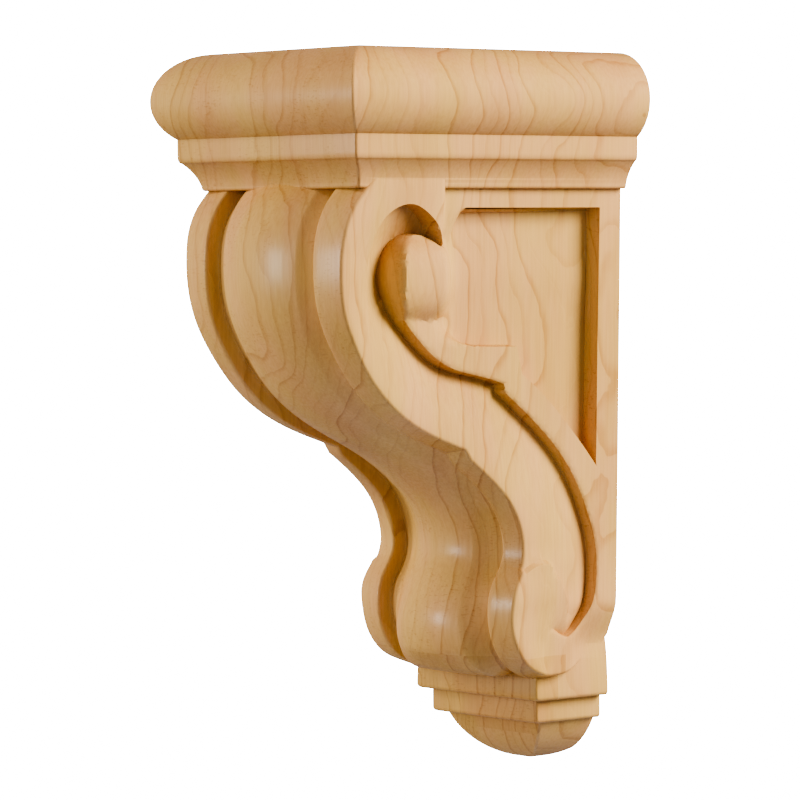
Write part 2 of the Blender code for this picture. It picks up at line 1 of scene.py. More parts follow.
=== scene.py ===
"""Looks of a carved maple corbel bracket: its fine surface, its wood, and a studio to show it in.

Everything is in metres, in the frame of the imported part: the flat back lies in the plane Y = 0, the
front faces -Y, the carving is symmetric about X = 0, and Z is up.
"""
import math

import bpy
import numpy as np
from mathutils import Matrix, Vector
from mathutils.geometry import delaunay_2d_cdt


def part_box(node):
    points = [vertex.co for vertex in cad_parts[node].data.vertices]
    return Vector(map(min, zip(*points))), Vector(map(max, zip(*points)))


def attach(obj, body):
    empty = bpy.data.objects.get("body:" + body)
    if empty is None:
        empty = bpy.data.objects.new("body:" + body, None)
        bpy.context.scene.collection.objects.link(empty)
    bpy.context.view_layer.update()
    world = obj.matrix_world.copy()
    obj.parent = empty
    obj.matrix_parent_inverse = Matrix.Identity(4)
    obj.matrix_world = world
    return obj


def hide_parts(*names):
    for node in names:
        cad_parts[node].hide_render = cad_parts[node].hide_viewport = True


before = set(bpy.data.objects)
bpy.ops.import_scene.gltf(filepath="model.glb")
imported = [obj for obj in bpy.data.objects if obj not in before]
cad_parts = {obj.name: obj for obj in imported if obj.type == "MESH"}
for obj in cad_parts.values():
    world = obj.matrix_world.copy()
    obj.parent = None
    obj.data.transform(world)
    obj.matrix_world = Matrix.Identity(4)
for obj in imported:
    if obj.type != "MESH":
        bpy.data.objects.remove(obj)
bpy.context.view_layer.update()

MM = 0.001
CORBEL_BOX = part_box("corbel")
HALF_WIDTH = CORBEL_BOX[1][0]
TOP_Z = CORBEL_BOX[1][2]
TIP_Z = CORBEL_BOX[0][2]

# Heights of the main levels, from the top of the cap and the tip of the drop.
FASCIA_TOP_Z = TOP_Z - 38.7 * MM
LIP_UNDER_Z = TOP_Z - 62.7 * MM
BLOCK_UNDER_Z = TIP_Z + 31.7 * MM
PLINTH_UNDER_Z = TIP_Z + 20.7 * MM

# The fascia, the plinth and the drop each start this much below the moulding above them.
SEAM = 0.3 * MM

# Cap: each moulding is a rectangle on the wall, deeper than its half-width by one constant.
CAP_EXTRA_DEPTH = 101.1 * MM
BULLNOSE_RADIUS = 21.7 * MM
BULLNOSE_CENTRE_X = HALF_WIDTH - BULLNOSE_RADIUS
BULLNOSE_STEPS = 34
FASCIA_X = 65.6 * MM
FASCIA_EDGE = 3.2 * MM
FASCIA_EDGE_STEPS = 7
COVE_TOP_X = 64.3 * MM
COVE_TOP_Z = TOP_Z - 50.0 * MM
COVE_RADIUS = 21.8 * MM
COVE_TOP_SLOPE = math.radians(48.0)
COVE_LOW_SLOPE = math.radians(14.0)
COVE_STEPS = 14
LIP_EDGE = 1.2 * MM
MITRE_ROUND = 1.2 * MM
MITRE_STEPS = 6
MITRE_LIMIT = 0.45

# Base: two stepped blocks and a drop whose faces are arcs.
BLOCK_X = 43.3 * MM
BLOCK_WAIST_X = 42.1 * MM
BLOCK_WAIST_Z = -110.7 * MM
BLOCK_TOP_X = 41.0 * MM
BLOCK_TOP_Z = -104.0 * MM
BLOCK_EXTRA_DEPTH = 1.0 * MM
PLINTH_X = 37.7 * MM
PLINTH_EXTRA_DEPTH = 1.6 * MM
BLOCK_STEPS = 14
BLOCK_SWELL_X = BLOCK_X - 0.3 * MM
BLOCK_SWELL_Z = BLOCK_UNDER_Z + 12.0 * MM
BLOCK_FOOT_Z = BLOCK_UNDER_Z + 4.0 * MM
STEP_EDGE = 2.0 * MM
DROP_X = 33.0 * MM
DROP_CENTRE_Y = -12.0 * MM
DROP_DEPTH_SCALE = 0.65
DROP_STEPS = 26
DROP_STEP_POWER = 0.8
TURN_STEPS = 6

# Cross-section of the front: half-widths, and heights above the line of the bands' outer edge.
GROOVE_WALL_X = 38.7 * MM
GROOVE_FLOOR_WIDTH = 2.7 * MM
BAND_LEAST_WIDTH = 6.0 * MM
BAND_INNER_RISE = 1.8 * MM
GROOVE_FLOOR_RISE = -4.6 * MM
FLANK_HOLLOW = 2.4 * MM
EDGE_ROUND = 1.6 * MM
BAND_INNER_ROUND = 1.3 * MM
BAND_INNER_SHARE = 0.96
BAND_START_DROP = 0.05 * MM
BAND_SWELL = 0.25 * MM
ROLL_COLUMNS = 25
FLANK_COLUMNS = 10
BAND_COLUMNS = 7
CORNER_COLUMNS = TURN_STEPS - 1

# The groove's columns: X past the flank's foot, then X from the groove's wall. Then the height over
# the groove's floor of all but the last of them, which takes its height from the band.
FLOOR_PLACES = np.array([0.9, 1.7]) * MM
WALL_PLACES = np.array([-0.5, -0.2, -0.05, 0.1]) * MM
GROOVE_RISES = np.array([-0.35, -0.5, -0.4, 0.2, 2.0]) * MM

# The front's relief dies away towards the back, between these two places.
FADE_END_Y = -4.0 * MM
FADE_START_Y = -24.0 * MM

# The roll along the profile: Z, half-width, height of its crown, height of its shoulder (mm).
ROLL_STATIONS = [(110.0, 26.6, 4.5, 0.9), (70.0, 26.6, 4.8, 0.9), (20.0, 24.5, 5.0, 1.4),
                 (-20.0, 21.5, 5.2, 2.0), (-60.0, 19.6, 5.4, 2.4), (-92.0, 21.5, 4.8, 1.2),
                 (-108.0, 23.4, 4.0, 0.6), (-118.0, 24.6, 1.8, 0.0), (-122.5, 25.0, 0.4, 0.0)]

# The S-shaped profile at the outer edge of the bands, as (Y, Z) in millimetres.
BELLY_POINTS = [(-149.0, 108.5), (-154.8, 102.3), (-161.4, 94.8), (-166.6, 84.0), (-168.7, 67.5),
                (-166.4, 48.0), (-158.4, 30.4), (-143.6, 11.0), (-123.0, -3.9), (-93.4, -15.6)]
SCROLL_POINTS = [(-90.4, -20.3), (-77.0, -30.6), (-65.9, -42.2), (-60.0, -56.0), (-60.4, -68.5),
                 (-66.8, -80.0), (-68.9, -91.5), (-66.2, -104.5), (-57.8, -115.7), (-44.0, -121.1),
                 (-28.6, -120.3), (-14.0, -115.4), (-2.0, -110.4)]

# The roll runs smoothly past the notch, and hangs lower than the bands at its round end.
ROLL_POINTS = BELLY_POINTS[:-1] + [
    (-94.5, -18.6), (-77.0, -30.6), (-65.9, -42.2), (-60.0, -56.0), (-60.4, -68.5), (-65.4, -79.0),
    (-70.0, -90.0), (-71.9, -100.0), (-69.8, -110.5), (-63.6, -118.9), (-54.0, -122.3), (-40.0, -121.6),
    (-26.0, -118.6), (-2.0, -110.4)]
ROLL_MIDDLE = 9
PATH_STEPS = 2000
NOTCH_GAP = 8
BELLY_ROWS = 140
SCROLL_ROWS = 160
BACK_STEPS = 60
BACK_FOOT_RISE = 4.0 * MM
TOP_STEPS = 40

# Side faces: the border plane leans in towards the foot of the bracket.
BORDER_X = 51.6 * MM
BORDER_LEAN = 0.0234
PANEL_DEPTH = 8.5 * MM
PANEL_TOP_Z = 93.3 * MM
PANEL_BACK_Y = -13.3 * MM
WALL_DRAFT = 0.8 * MM
WALL_EDGE_ROUND = 1.1 * MM
WALL_CLEARANCE = 2.4 * MM
WALL_FOOT_STEPS = 150
WALL_HEAD_STEPS = 110
RAMP_STEPS = 60
PANEL_EDGE_STEPS = 50
DISC_STEPS = 40
RAMP_CREASE_START = 12
RAMP_DENSE_START = 8

# Corners that close the loops behind the lines, outside the bracket or inside the volute.
FAR_AWAY = 0.3
PANEL_FRONT_Y = -175.0 * MM
VOLUTE_INNER = (-110.0 * MM, 70.0 * MM)
DISC_CORNERS = [(-33.6 * MM, -0.2), (-0.2, -0.2)]

# Towards the knob the panel's top edge softens, its floor rises, and its top crease stops.
PANEL_SOFT_TOP = 24.0 * MM
PANEL_SOFT_FROM_Y = -92.0 * MM
PANEL_SOFT_TO_Y = -103.0 * MM
PANEL_RISE_SHARE = 0.8
PANEL_RISE_FROM_Y = -90.0 * MM
PANEL_RISE_TO_Y = -114.0 * MM
PANEL_CREASE_Y = -94.0 * MM

# The channel falls by a power. The ramp and the disc fade out with the distance from their lines.
CHANNEL_FALL_POWER = 1.5
RAMP_FADE = 24.0 * MM
RAMP_FADE_WIDTH = 10.0 * MM
RAMP_STEP = 1.2 * MM
DISC_STEP = 0.9 * MM
DISC_FADE = 24.0 * MM

# Widths of a wall's step: up to which it has creases, and over which its edge and channel turn soft.
CREASE_WIDTH = 1.05 * MM
PANEL_CREASE_WIDTH = 1.0 * MM
CRISP_END = 1.6 * MM
CRISP_FADE = 0.6 * MM
SOFT_FROM = 1.0 * MM
SOFT_TO = 8.0 * MM

# The net of places over a side: its grid, extra places beside the walls (mm), and least distances.
# The cells that keep those distances are numbered with a stride.
SIDE_GRID = 1.6 * MM
EDGE_GAPS = (-1.8, -1.0, 0.8, 1.2, 2.0)
DENSE_ROOM = 0.35 * MM
GRID_ROOM = 0.55 * SIDE_GRID
NET_STRIDE = 10000
NET_EPSILON = 1e-7
ALL_TRIANGLES = 0

# Keeps a division from a zero.
TINY = 1e-9

# The long carved wall of the side, in two runs that meet at a notch: from under the lower scroll
# round its hook and up to the notch, then up the strand, round the knob and into the cap. Each
# point gives Y, Z, the level of the surface in front of the wall, and the width of the step (mm).
WALL_HEEL_POINTS = [(-48.0, -145.0, 0.8, 12.0), (-44.0, -118.0, 0.6, 12.0)]
WALL_FOOT_POINTS = [(-42.0, -108.0, 0.2, 9.0), (-39.5, -100.4, -0.8, 1.0), (-31.0, -103.4, -4.0, 0.8),
                    (-20.0, -97.5, -6.0, 0.8), (-14.4, -88.0, -7.2, 0.8), (-12.5, -74.0, -7.2, 0.8),
                    (-14.0, -60.0, -6.8, 0.8), (-20.0, -43.7, -6.5, 0.8), (-30.0, -26.2, -6.5, 0.8),
                    (-50.0, -5.6, -6.8, 0.8), (-70.6, 10.4, -7.2, 0.8)]
WALL_HEAD_POINTS = [(-70.2, 13.6, -7.2, 0.8), (-82.5, 16.9, -7.6, 0.8), (-102.5, 21.9, -8.0, 0.8),
                    (-115.8, 29.9, -8.0, 0.8), (-124.8, 38.6, -8.4, 0.8), (-132.7, 48.2, -9.0, 0.8),
                    (-136.2, 56.5, -9.5, 0.8), (-136.9, 65.0, -9.5, 0.8), (-134.4, 73.5, -9.0, 0.8),
                    (-128.4, 80.2, -8.5, 0.8), (-121.0, 82.0, -8.0, 0.8), (-115.6, 80.4, -8.0, 0.8),
                    (-110.4, 76.6, -8.0, 1.0)]
WALL_TAIL_POINTS = [(-109.4, 84.0, 4.5, 8.0), (-108.6, 96.0, 4.5, 6.0), (-107.6, 116.0, 4.5, 5.0)]

# Where the outer band of the volute stands over the ramp inside it: Y, Z, and the share of the
# band's full height that it keeps there (in thousandths, as the tables are in millimetres).
RAMP_POINTS = [(-147.6, 46.0, 0.0), (-150.6, 60.0, 250.0), (-150.2, 74.0, 450.0), (-145.0, 86.9, 700.0),
               (-136.0, 93.6, 850.0), (-128.4, 94.8, 1000.0), (-121.8, 92.3, 1000.0), (-116.7, 88.5, 1000.0),
               (-113.0, 84.0, 1000.0), (-111.0, 77.4, 1000.0)]

# The raised disc of the lower scroll: Y, Z and the height of its edge (mm).
DISC_POINTS = [(-75.0, -78.0, 2.2), (-59.1, -71.4, 2.0), (-54.5, -69.4, 1.7), (-48.2, -68.2, 1.3),
               (-42.7, -68.9, 0.9), (-39.1, -70.5, 0.5), (-33.6, -74.2, 0.0)]

# The lower edge of the sunk panel, in two runs that meet at a cusp: Y, Z, width of the step (mm).
PANEL_EDGE_FRONT = [(-120.0, 42.0, 22.0), (-101.0, 36.3, 8.0), (-91.0, 32.6, 2.0),
                    (-76.0, 31.2, 0.8), (-62.5, 31.0, 0.8)]
PANEL_EDGE_BACK = [(-59.2, 18.4, 0.8), (-46.0, 8.4, 0.8), (-30.0, -6.8, 0.8), (-20.5, -16.8, 0.8),
                   (-13.7, -24.6, 0.8)]

# Height of the outer band above the border plane, by Z (mm).
BAND_RISE_STATIONS = [(-125.0, 4.2), (-104.0, 5.0), (-88.0, 4.6), (-72.0, 2.6),
                      (-60.0, 1.6), (-16.0, 0.6), (16.0, 2.0), (42.0, 3.2), (70.0, 4.0), (84.0, 4.5)]

# Knob in the eye of the volute: the round end of a strand that lies along the side.
KNOB_Y = -121.5 * MM
KNOB_Z = 62.2 * MM
KNOB_REACH_Y = 15.8 * MM
KNOB_REACH_Z = 21.6 * MM
KNOB_POWER = 2.5
KNOB_BARREL_POWER = 2.4
KNOB_BASE = -15.0 * MM
KNOB_RISE = 22.0 * MM
KNOB_RIM = 3.2 * MM
KNOB_FILLET = 1.2 * MM
KNOB_TAIL_Y = -91.0 * MM
KNOB_TAIL_INSET = 9.0 * MM

# Extra places on the knob's rim: shares of the rim's width in from its edge, and the degrees that
# they turn through.
KNOB_RIM_SHARES = (0.06, 0.18, 0.35, 0.65, 1.0, 1.4)
KNOB_RIM_TURN = (91.0, 270.0, 1.5)

# The side sweeps in at the foot of the back edge to meet the block below.
SWEEP_TOP_Z = -88.0 * MM
SWEEP_LOW_Z = -111.5 * MM
SWEEP_FRONT_Y = -33.0 * MM
SWEEP_BACK_Y = -11.0 * MM
SWEEP_FOOT_X = 41.6 * MM

# Glued staves: planes between them, and for each its colour, and its pith as X, Y and ring spacing.
FAR_LEFT_X = -31.0 * MM
MIDDLE_X = -2.0 * MM
POST_BACK_Y = -104.5 * MM
BASE_SEAM_Z = -112.0 * MM
BASE_LEFT_X = -15.5 * MM
BASE_FRONT_Y = -31.0 * MM
STAVES = {
    "main": ((0.620, 0.353, 0.125), (0.095, -0.047, 0.0075)),
    "front_post": ((0.545, 0.292, 0.090), (0.100, -0.150, 0.0080)),
    "middle": ((0.640, 0.385, 0.148), (-0.350, -0.100, 0.0024)),
    "far_left": ((0.670, 0.415, 0.175), (-0.300, -0.140, 0.0030)),
    "base": ((0.590, 0.332, 0.114), (0.120, -0.010, 0.0065)),
    "base_front": ((0.540, 0.292, 0.090), (0.100, -0.060, 0.0055)),
    "base_left": ((0.580, 0.322, 0.104), (-0.300, -0.020, 0.0024)),
}
RING_RISE = (0.30, 0.93)
RING_END = (1.0, 0.95)
RING_SHARPNESS = 5.0
RING_FAINTEST = 0.15
RING_SLOW_WARP = 0.034
RING_QUICK_WARP = 0.0050

# Bullseye of the rings on the side of the bullnose: its middle, its reach, and how far it lifts them.
BULLSEYE_PLACE = (0.072, -0.050, 0.142)
BULLSEYE_REACH = (0.060, 0.034, 0.024)
BULLSEYE_LIFT = 0.017

# Noises: waves to the metre along X, Y and Z, and detail.
SLOW_WAVES = (20.0, 20.0, 17.0, 1.0)
QUICK_WAVES = (75.0, 75.0, 50.0, 2.0)
TONE_WAVES = (38.0, 38.0, 14.0, 2.0)
FIBRE_WAVES = (900.0, 900.0, 26.0, 3.0)
CLOUD_WAVES = (30.0, 30.0, 11.0, 2.0)
PATCH_WAVES = (60.0, 60.0, 40.0, 1.0)
DASH_WAVES = (420.0, 420.0, 1300.0, 1.0)

# The ranges over which the noises, and the turn of the surface to the front, come to their full effect.
TONE_RANGE = (0.35, 0.65)
FRONT_RANGE = (0.45, 0.95)
DASH_RANGE = (0.58, 0.70)
PATCH_RANGE = (0.42, 0.62)
FIBRE_RANGE = (0.30, 0.75)
CLOUD_RANGE = (0.30, 0.70)
# The power of the surface's turn up or down, for the end grain's darkening, which is partly painted shade.
END_GRAIN_AND_SHADE_POWER = 1.5
ROUGHNESS = (0.40, 0.52)
FIBRE_HEIGHT = 0.5
RING_HEIGHT = -0.6
BUMP_STRENGTH = 0.25
BUMP_DISTANCE = 0.1 * MM

# How far the wood's markings go towards the deep tint, which multiplies a stave's colour.
DEEP_TINT = (0.62, 0.48, 0.32)
RING_DARKNESS = 0.50
OWN_RING_DARKNESS = 0.10
FLECK_DARKNESS = 0.35
FIBRE_DARKNESS = 0.10
CLOUD_DARKNESS = 0.12
# The end grain's darkness is partly real end grain and partly painted shade on faces turned up or down.
END_GRAIN_AND_SHADE_DARKNESS = 0.55
PINK_TINT = (1.02, 0.985, 1.06)
YELLOW_TINT = (0.98, 1.025, 0.90)
COAT_WEIGHT = 0.25
SPECULAR_LEVEL = 0.3
COAT_ROUGHNESS = 0.25

# Camera at the photograph's place, from a perspective fit to the bracket's straight edges.
CAMERA_PLACE = (1.4651, -1.3012, 0.0810)
CAMERA_AZIMUTH = math.radians(50.39)
CAMERA_ELEVATION = math.radians(2.264)
CAMERA_ROLL = math.radians(-0.43)
CAMERA_LENS = 186.26
CAMERA_SENSOR = 36.0

# Studio.
LOOK_AT = (0.0, -0.085, 0.0)
LIGHT_DISTANCE = 2.3

# Soft boxes: azimuth from the front towards +X, elevation, width, height, power, and whether the
# lacquer mirrors it.
LIGHTS = {
    "side_light": (128.0, 27.0, 1.3, 1.3, 140.0, False),
    "left_light": (-68.0, 12.0, 0.6, 1.1, 51.0, False),
    "left_strip": (-32.0, 4.0, 0.12, 0.5, 14.0, True),
    "upper_light": (-40.0, 42.0, 0.6, 0.6, 20.0, False),
    "front_fill": (25.0, 10.0, 0.8, 0.8, 8.0, False),
}
LIGHT_COLOUR = (1.0, 0.98, 0.95)
FLOOR_Z = -2.00
FLOOR_HALF = 1.5
FLOOR_COLOUR = (0.80, 0.80, 0.80, 1.0)
FLOOR_ROUGHNESS = 0.9
WHITE = (1.0, 1.0, 1.0, 1.0)
BLACK = (0.0, 0.0, 0.0, 1.0)
SURROUND_STRENGTH = 0.25
WHITE_STRENGTH = 16.0
SMOOTH_ANGLE = math.radians(38.0)

# Places of the colour sockets on a Mix node.
MIX_SHARE = 0
MIX_FIRST = 6
MIX_SECOND = 7
MIX_RESULT = 2


def smooth(low, high, value):
    """Smoothstep: 0 below low, 1 above high, and 3u^2 - 2u^3 between."""
    u = np.clip((value - low) / (high - low), 0.0, 1.0)
    return u * u * (3.0 - 2.0 * u)


def step(value):
    """A smooth step from 0 to 1 as the value goes from minus a half to a half."""
    return smooth(-0.5, 0.5, value)


def stations(table, at):
    """Read a table of (Z, value, ...) rows, given in millimetres, smoothly at heights in metres."""
    table = np.array(sorted(table)) * MM
    i = np.clip(np.searchsorted(table[:, 0], at) - 1, 0, len(table) - 2)
    share = smooth(table[i, 0], table[i + 1, 0], at)
    return [column[i] + (column[i + 1] - column[i]) * share for column in table[:, 1:].T]


def spline(points, count):
    """Natural cubic spline through points in millimetres, read at evenly spaced chord lengths."""
    points = np.array(points) * MM
    knots = np.concatenate([[0.0], np.cumsum(np.linalg.norm(np.diff(points[:, :2], axis=0), axis=1))])
    gaps = np.diff(knots)
    size = len(points)
    matrix = np.eye(size)
    right = np.zeros_like(points)
    for i in range(1, size - 1):
        matrix[i, i - 1:i + 2] = gaps[i - 1], 2.0 * (gaps[i - 1] + gaps[i]), gaps[i]
        slope_change = (points[i + 1] - points[i]) / gaps[i] - (points[i] - points[i - 1]) / gaps[i - 1]
        right[i] = 6.0 * slope_change
    bend = np.linalg.solve(matrix, right)
    at = np.linspace(0.0, knots[-1], count)
    i = np.clip(np.searchsorted(knots, at, side="right") - 1, 0, size - 2)
    before = (knots[i + 1] - at)[:, None]
    after = (at - knots[i])[:, None]
    gap = gaps[i][:, None]
    curve = (bend[i] * before ** 3 + bend[i + 1] * after ** 3) / (6.0 * gap)
    curve += (points[i] / gap - bend[i] * gap / 6.0) * before
    curve += (points[i + 1] / gap - bend[i + 1] * gap / 6.0) * after
    return curve


def nearest_on(line, places):
    """Distance from each place to a polyline, and the line's own row of values nearest to it."""
    best = np.full(len(places), np.inf)
    values = np.zeros((len(places), line.shape[1]))
    for start, end in zip(line[:-1], line[1:]):
        step = end[:2] - start[:2]
        share = np.clip((places - start[:2]) @ step / (step @ step), 0.0, 1.0)
        gap = np.linalg.norm(places - start[:2] - share[:, None] * step, axis=1)
        closer = gap < best
        best[closer] = gap[closer]
        values[closer] = (start + share[:, None] * (end - start))[closer]
    return best, values


def inside(loop, places):
    """True for places inside a closed polygon, by the edges that a level ray crosses."""
    result = np.zeros(len(places), dtype=bool)
    for (y0, z0), (y1, z1) in zip(loop, np.roll(loop, -1, axis=0)):
        if z0 == z1:
            continue
        crosses = (z0 > places[:, 1]) != (z1 > places[:, 1])
        result ^= crosses & (places[:, 0] < (y1 - y0) * (places[:, 1] - z0) / (z1 - z0) + y0)
    return result


def signed_gap(line, loop, places):
    """Distance from each place to a line, below zero outside the loop, and the line's values there."""
    gap, values = nearest_on(line, places)
    return np.where(inside(loop, places), gap, -gap), values


def shifted(path, gap):
    """A polyline moved sideways to its left by a gap, with mitred corners."""
    along = np.diff(path[:, :2], axis=0)
    along /= np.linalg.norm(along, axis=1)[:, None]
    left = np.stack([-along[:, 1], along[:, 0]], axis=1)
    first = np.concatenate([left[:1], left])
    last = np.concatenate([left, left[-1:]])
    mitre = (first + last) / (1.0 + np.sum(first * last, axis=1))[:, None]
    return path[:, :2] + mitre * gap


def outward_of(path):
    """Unit normals of a downward (Y, Z) path that point out of the front."""
    along = np.gradient(path, axis=0)
    along /= np.linalg.norm(along, axis=1)[:, None]
    return np.stack([along[:, 1], -along[:, 0]], axis=1)


class SideRelief:
    """The carved relief of one side: border, strand, sunk panel, knob, ramp, channel and band."""

    def __init__(self, outline):
        self.outline = outline
        self.wall_foot = spline(WALL_FOOT_POINTS, WALL_FOOT_STEPS)
        self.wall_head = spline(WALL_HEAD_POINTS, WALL_HEAD_STEPS)
        self.wall = np.concatenate([np.array(WALL_HEEL_POINTS) * MM, self.wall_foot, self.wall_head,
                                    np.array(WALL_TAIL_POINTS) * MM])
        self.ramp = spline(RAMP_POINTS, RAMP_STEPS)
        self.edge = np.concatenate([spline(PANEL_EDGE_FRONT, PANEL_EDGE_STEPS),
                                    spline(PANEL_EDGE_BACK, PANEL_EDGE_STEPS)])
        corners = [(FAR_AWAY, FAR_AWAY), (FAR_AWAY, -FAR_AWAY), (self.wall[0, 0], -FAR_AWAY)]
        self.behind = np.concatenate([self.wall[:, :2], corners])
        top = PANEL_TOP_Z + WALL_DRAFT / 2.0
        self.panel = np.concatenate([self.edge[:, :2], [(PANEL_BACK_Y, top), (PANEL_FRONT_Y, top)]])
        self.disc = spline(DISC_POINTS, DISC_STEPS)
        self.disc_loop = np.concatenate([self.disc[:, :2], DISC_CORNERS])
        self.volute = np.concatenate([self.ramp[:, :2], [VOLUTE_INNER, (KNOB_Y, KNOB_Z)]])

    def border(self, y, z):
        """The leaning border plane, with its sweep inwards at the foot of the back edge."""
        plane = BORDER_X + BORDER_LEAN * z
        share = smooth(SWEEP_TOP_Z, SWEEP_LOW_Z, z) * smooth(SWEEP_FRONT_Y, SWEEP_BACK_Y, y)
        return plane - (plane - SWEEP_FOOT_X) * share

    def behind_wall(self, places):
        """Levels behind the wall: border and strand at zero, the sunk panel, and the knob.

        The panel's depth is scaled by the least of three smooth steps, at its lower, upper and back
        edge. The knob is a barrel, the p-th root of 1 - across^p, times a quarter circle over its rim,
        and it sinks into the strand along its tail. It meets the level below it by a soft maximum,
        half of a + sqrt(a^2 + f^2), where a is its height above that level and f is the fillet.
        """
        y, z = places.T
        signed, values = signed_gap(self.edge, self.panel, places)
        sunk = step(signed / values[:, 2])
        top_width = WALL_DRAFT + PANEL_SOFT_TOP * smooth(PANEL_SOFT_FROM_Y, PANEL_SOFT_TO_Y, y)
        sunk = np.minimum(sunk, smooth(0.0, 1.0, (PANEL_TOP_Z + WALL_DRAFT / 2.0 - z) / top_width))
        sunk = np.minimum(sunk, step((PANEL_BACK_Y - y) / WALL_DRAFT))
        depth = PANEL_DEPTH * (1.0 - PANEL_RISE_SHARE * smooth(PANEL_RISE_FROM_Y, PANEL_RISE_TO_Y, y))
        level = -depth * sunk
        across = np.abs(z - KNOB_Z) / KNOB_REACH_Z
        along = np.maximum(0.0, KNOB_Y - y) / KNOB_REACH_Y
        reach = (across ** KNOB_POWER + along ** KNOB_POWER) ** (1.0 / KNOB_POWER)
        rim = np.clip((1.0 - reach) * KNOB_REACH_Y / KNOB_RIM, 0.0, 1.0)
        barrel = np.clip(1.0 - across ** KNOB_BARREL_POWER, 0.0, 1.0) ** (1.0 / KNOB_BARREL_POWER)
        barrel *= np.sqrt(rim * (2.0 - rim))
        tail = smooth(KNOB_TAIL_Y, KNOB_Y + KNOB_TAIL_INSET, y)
        knob = KNOB_BASE + KNOB_RISE * barrel - (KNOB_BASE + KNOB_RISE + PANEL_DEPTH) * (1.0 - tail)
        above = knob - level
        return level + np.where(reach < 1.0, 0.5 * (above + np.sqrt(above ** 2 + KNOB_FILLET ** 2)), 0.0)

    def before_wall(self, places):
        """Levels in front of the wall: the band falls from its outer edge to the carved channel.

        The fall is a power of the share of the way from the edge to the wall, or a smoothstep of it
        where the wall is soft. Outside the ramp's line the level keeps a share of the band's height,
        and inside it drops by a step that is greatest where the share is a half. The disc is raised.
        """
        rise, = stations(BAND_RISE_STATIONS, places[:, 1])
        to_edge, _ = nearest_on(self.outline, places)
        to_wall, values = nearest_on(self.wall, places)
        share = to_edge / np.maximum(to_edge + to_wall, TINY)
        soft = smooth(SOFT_FROM, SOFT_TO, values[:, 3])
        fall = share ** CHANNEL_FALL_POWER * (1.0 - soft) + smooth(0.0, 1.0, share) * soft
        level = rise + (np.minimum(values[:, 2], rise) - rise) * fall
        signed, kept = signed_gap(self.ramp, self.volute, places)
        kept = kept[:, 2] * smooth(RAMP_FADE + RAMP_FADE_WIDTH, RAMP_FADE, np.abs(signed))
        within = step(signed / WALL_DRAFT)
        level += (rise - level) * kept * (1.0 - within) - RAMP_STEP * 4.0 * kept * (1.0 - kept) * within
        signed, edge = signed_gap(self.disc, self.disc_loop, places)
        return level + edge[:, 2] * step(signed / DISC_STEP) * smooth(DISC_FADE, 0.0, np.abs(signed))

    def height(self, places):
        """The X of the right side over each (Y, Z) place.

        A smooth step across the wall leads from the level before it to the level behind it. A parabola
        rounds off the upper edge, as far as the wall is crisp.
        """
        signed, values = signed_gap(self.wall, self.behind, places)
        share = step(signed / values[:, 3])
        crisp = np.clip((CRISP_END - values[:, 3]) / CRISP_FADE, 0.0, 1.0)
        past_edge = np.clip((signed - WALL_DRAFT / 2.0) / WALL_EDGE_ROUND, 0.0, 1.0)
        rounding = 0.5 * WALL_EDGE_ROUND * (1.0 - past_edge) ** 2 * crisp
        level = self.before_wall(places) * (1.0 - share) + (self.behind_wall(places) - rounding) * share
        return self.border(places[:, 0], places[:, 1]) + level

    def creases(self):
        """Lines along the top and the foot of every crisp wall, half its draft to each side of it."""
        half = WALL_DRAFT / 2.0
        foot = self.wall_foot[self.wall_foot[:, 3] < CREASE_WIDTH]
        walls = [foot, self.wall_head, self.ramp[RAMP_CREASE_START:]]
        firm = self.edge[self.edge[:, 2] < PANEL_CREASE_WIDTH]
        top = [(PANEL_BACK_Y, PANEL_TOP_Z), (PANEL_CREASE_Y, PANEL_TOP_Z)]
        walls.append(np.concatenate([firm[:, :2], top]))
        return [shifted(wall, gap) for wall in walls for gap in (-half, half)]

    def dense_places(self):
        """Extra places close to the walls, where their edges are rounded, and on the knob's rim."""
        walls = [self.wall_foot, self.wall_head, self.ramp[RAMP_DENSE_START:], self.edge, self.disc]
        gaps = np.array(EDGE_GAPS) * MM
        places = [shifted(wall, gap) for wall in walls for gap in gaps]
        turn = np.radians(np.arange(*KNOB_RIM_TURN))
        across = np.sign(np.sin(turn)) * np.abs(np.sin(turn)) ** (2.0 / KNOB_POWER)
        along = np.abs(np.cos(turn)) ** (2.0 / KNOB_POWER)
        for share in KNOB_RIM_SHARES:
            room = share * KNOB_RIM
            rim = np.column_stack([KNOB_Y - (KNOB_REACH_Y - room) * along,
                                   KNOB_Z + (KNOB_REACH_Z - room) * across])
            places.append(rim[nearest_on(self.wall, rim)[0] > WALL_CLEARANCE])
        return np.concatenate(places)


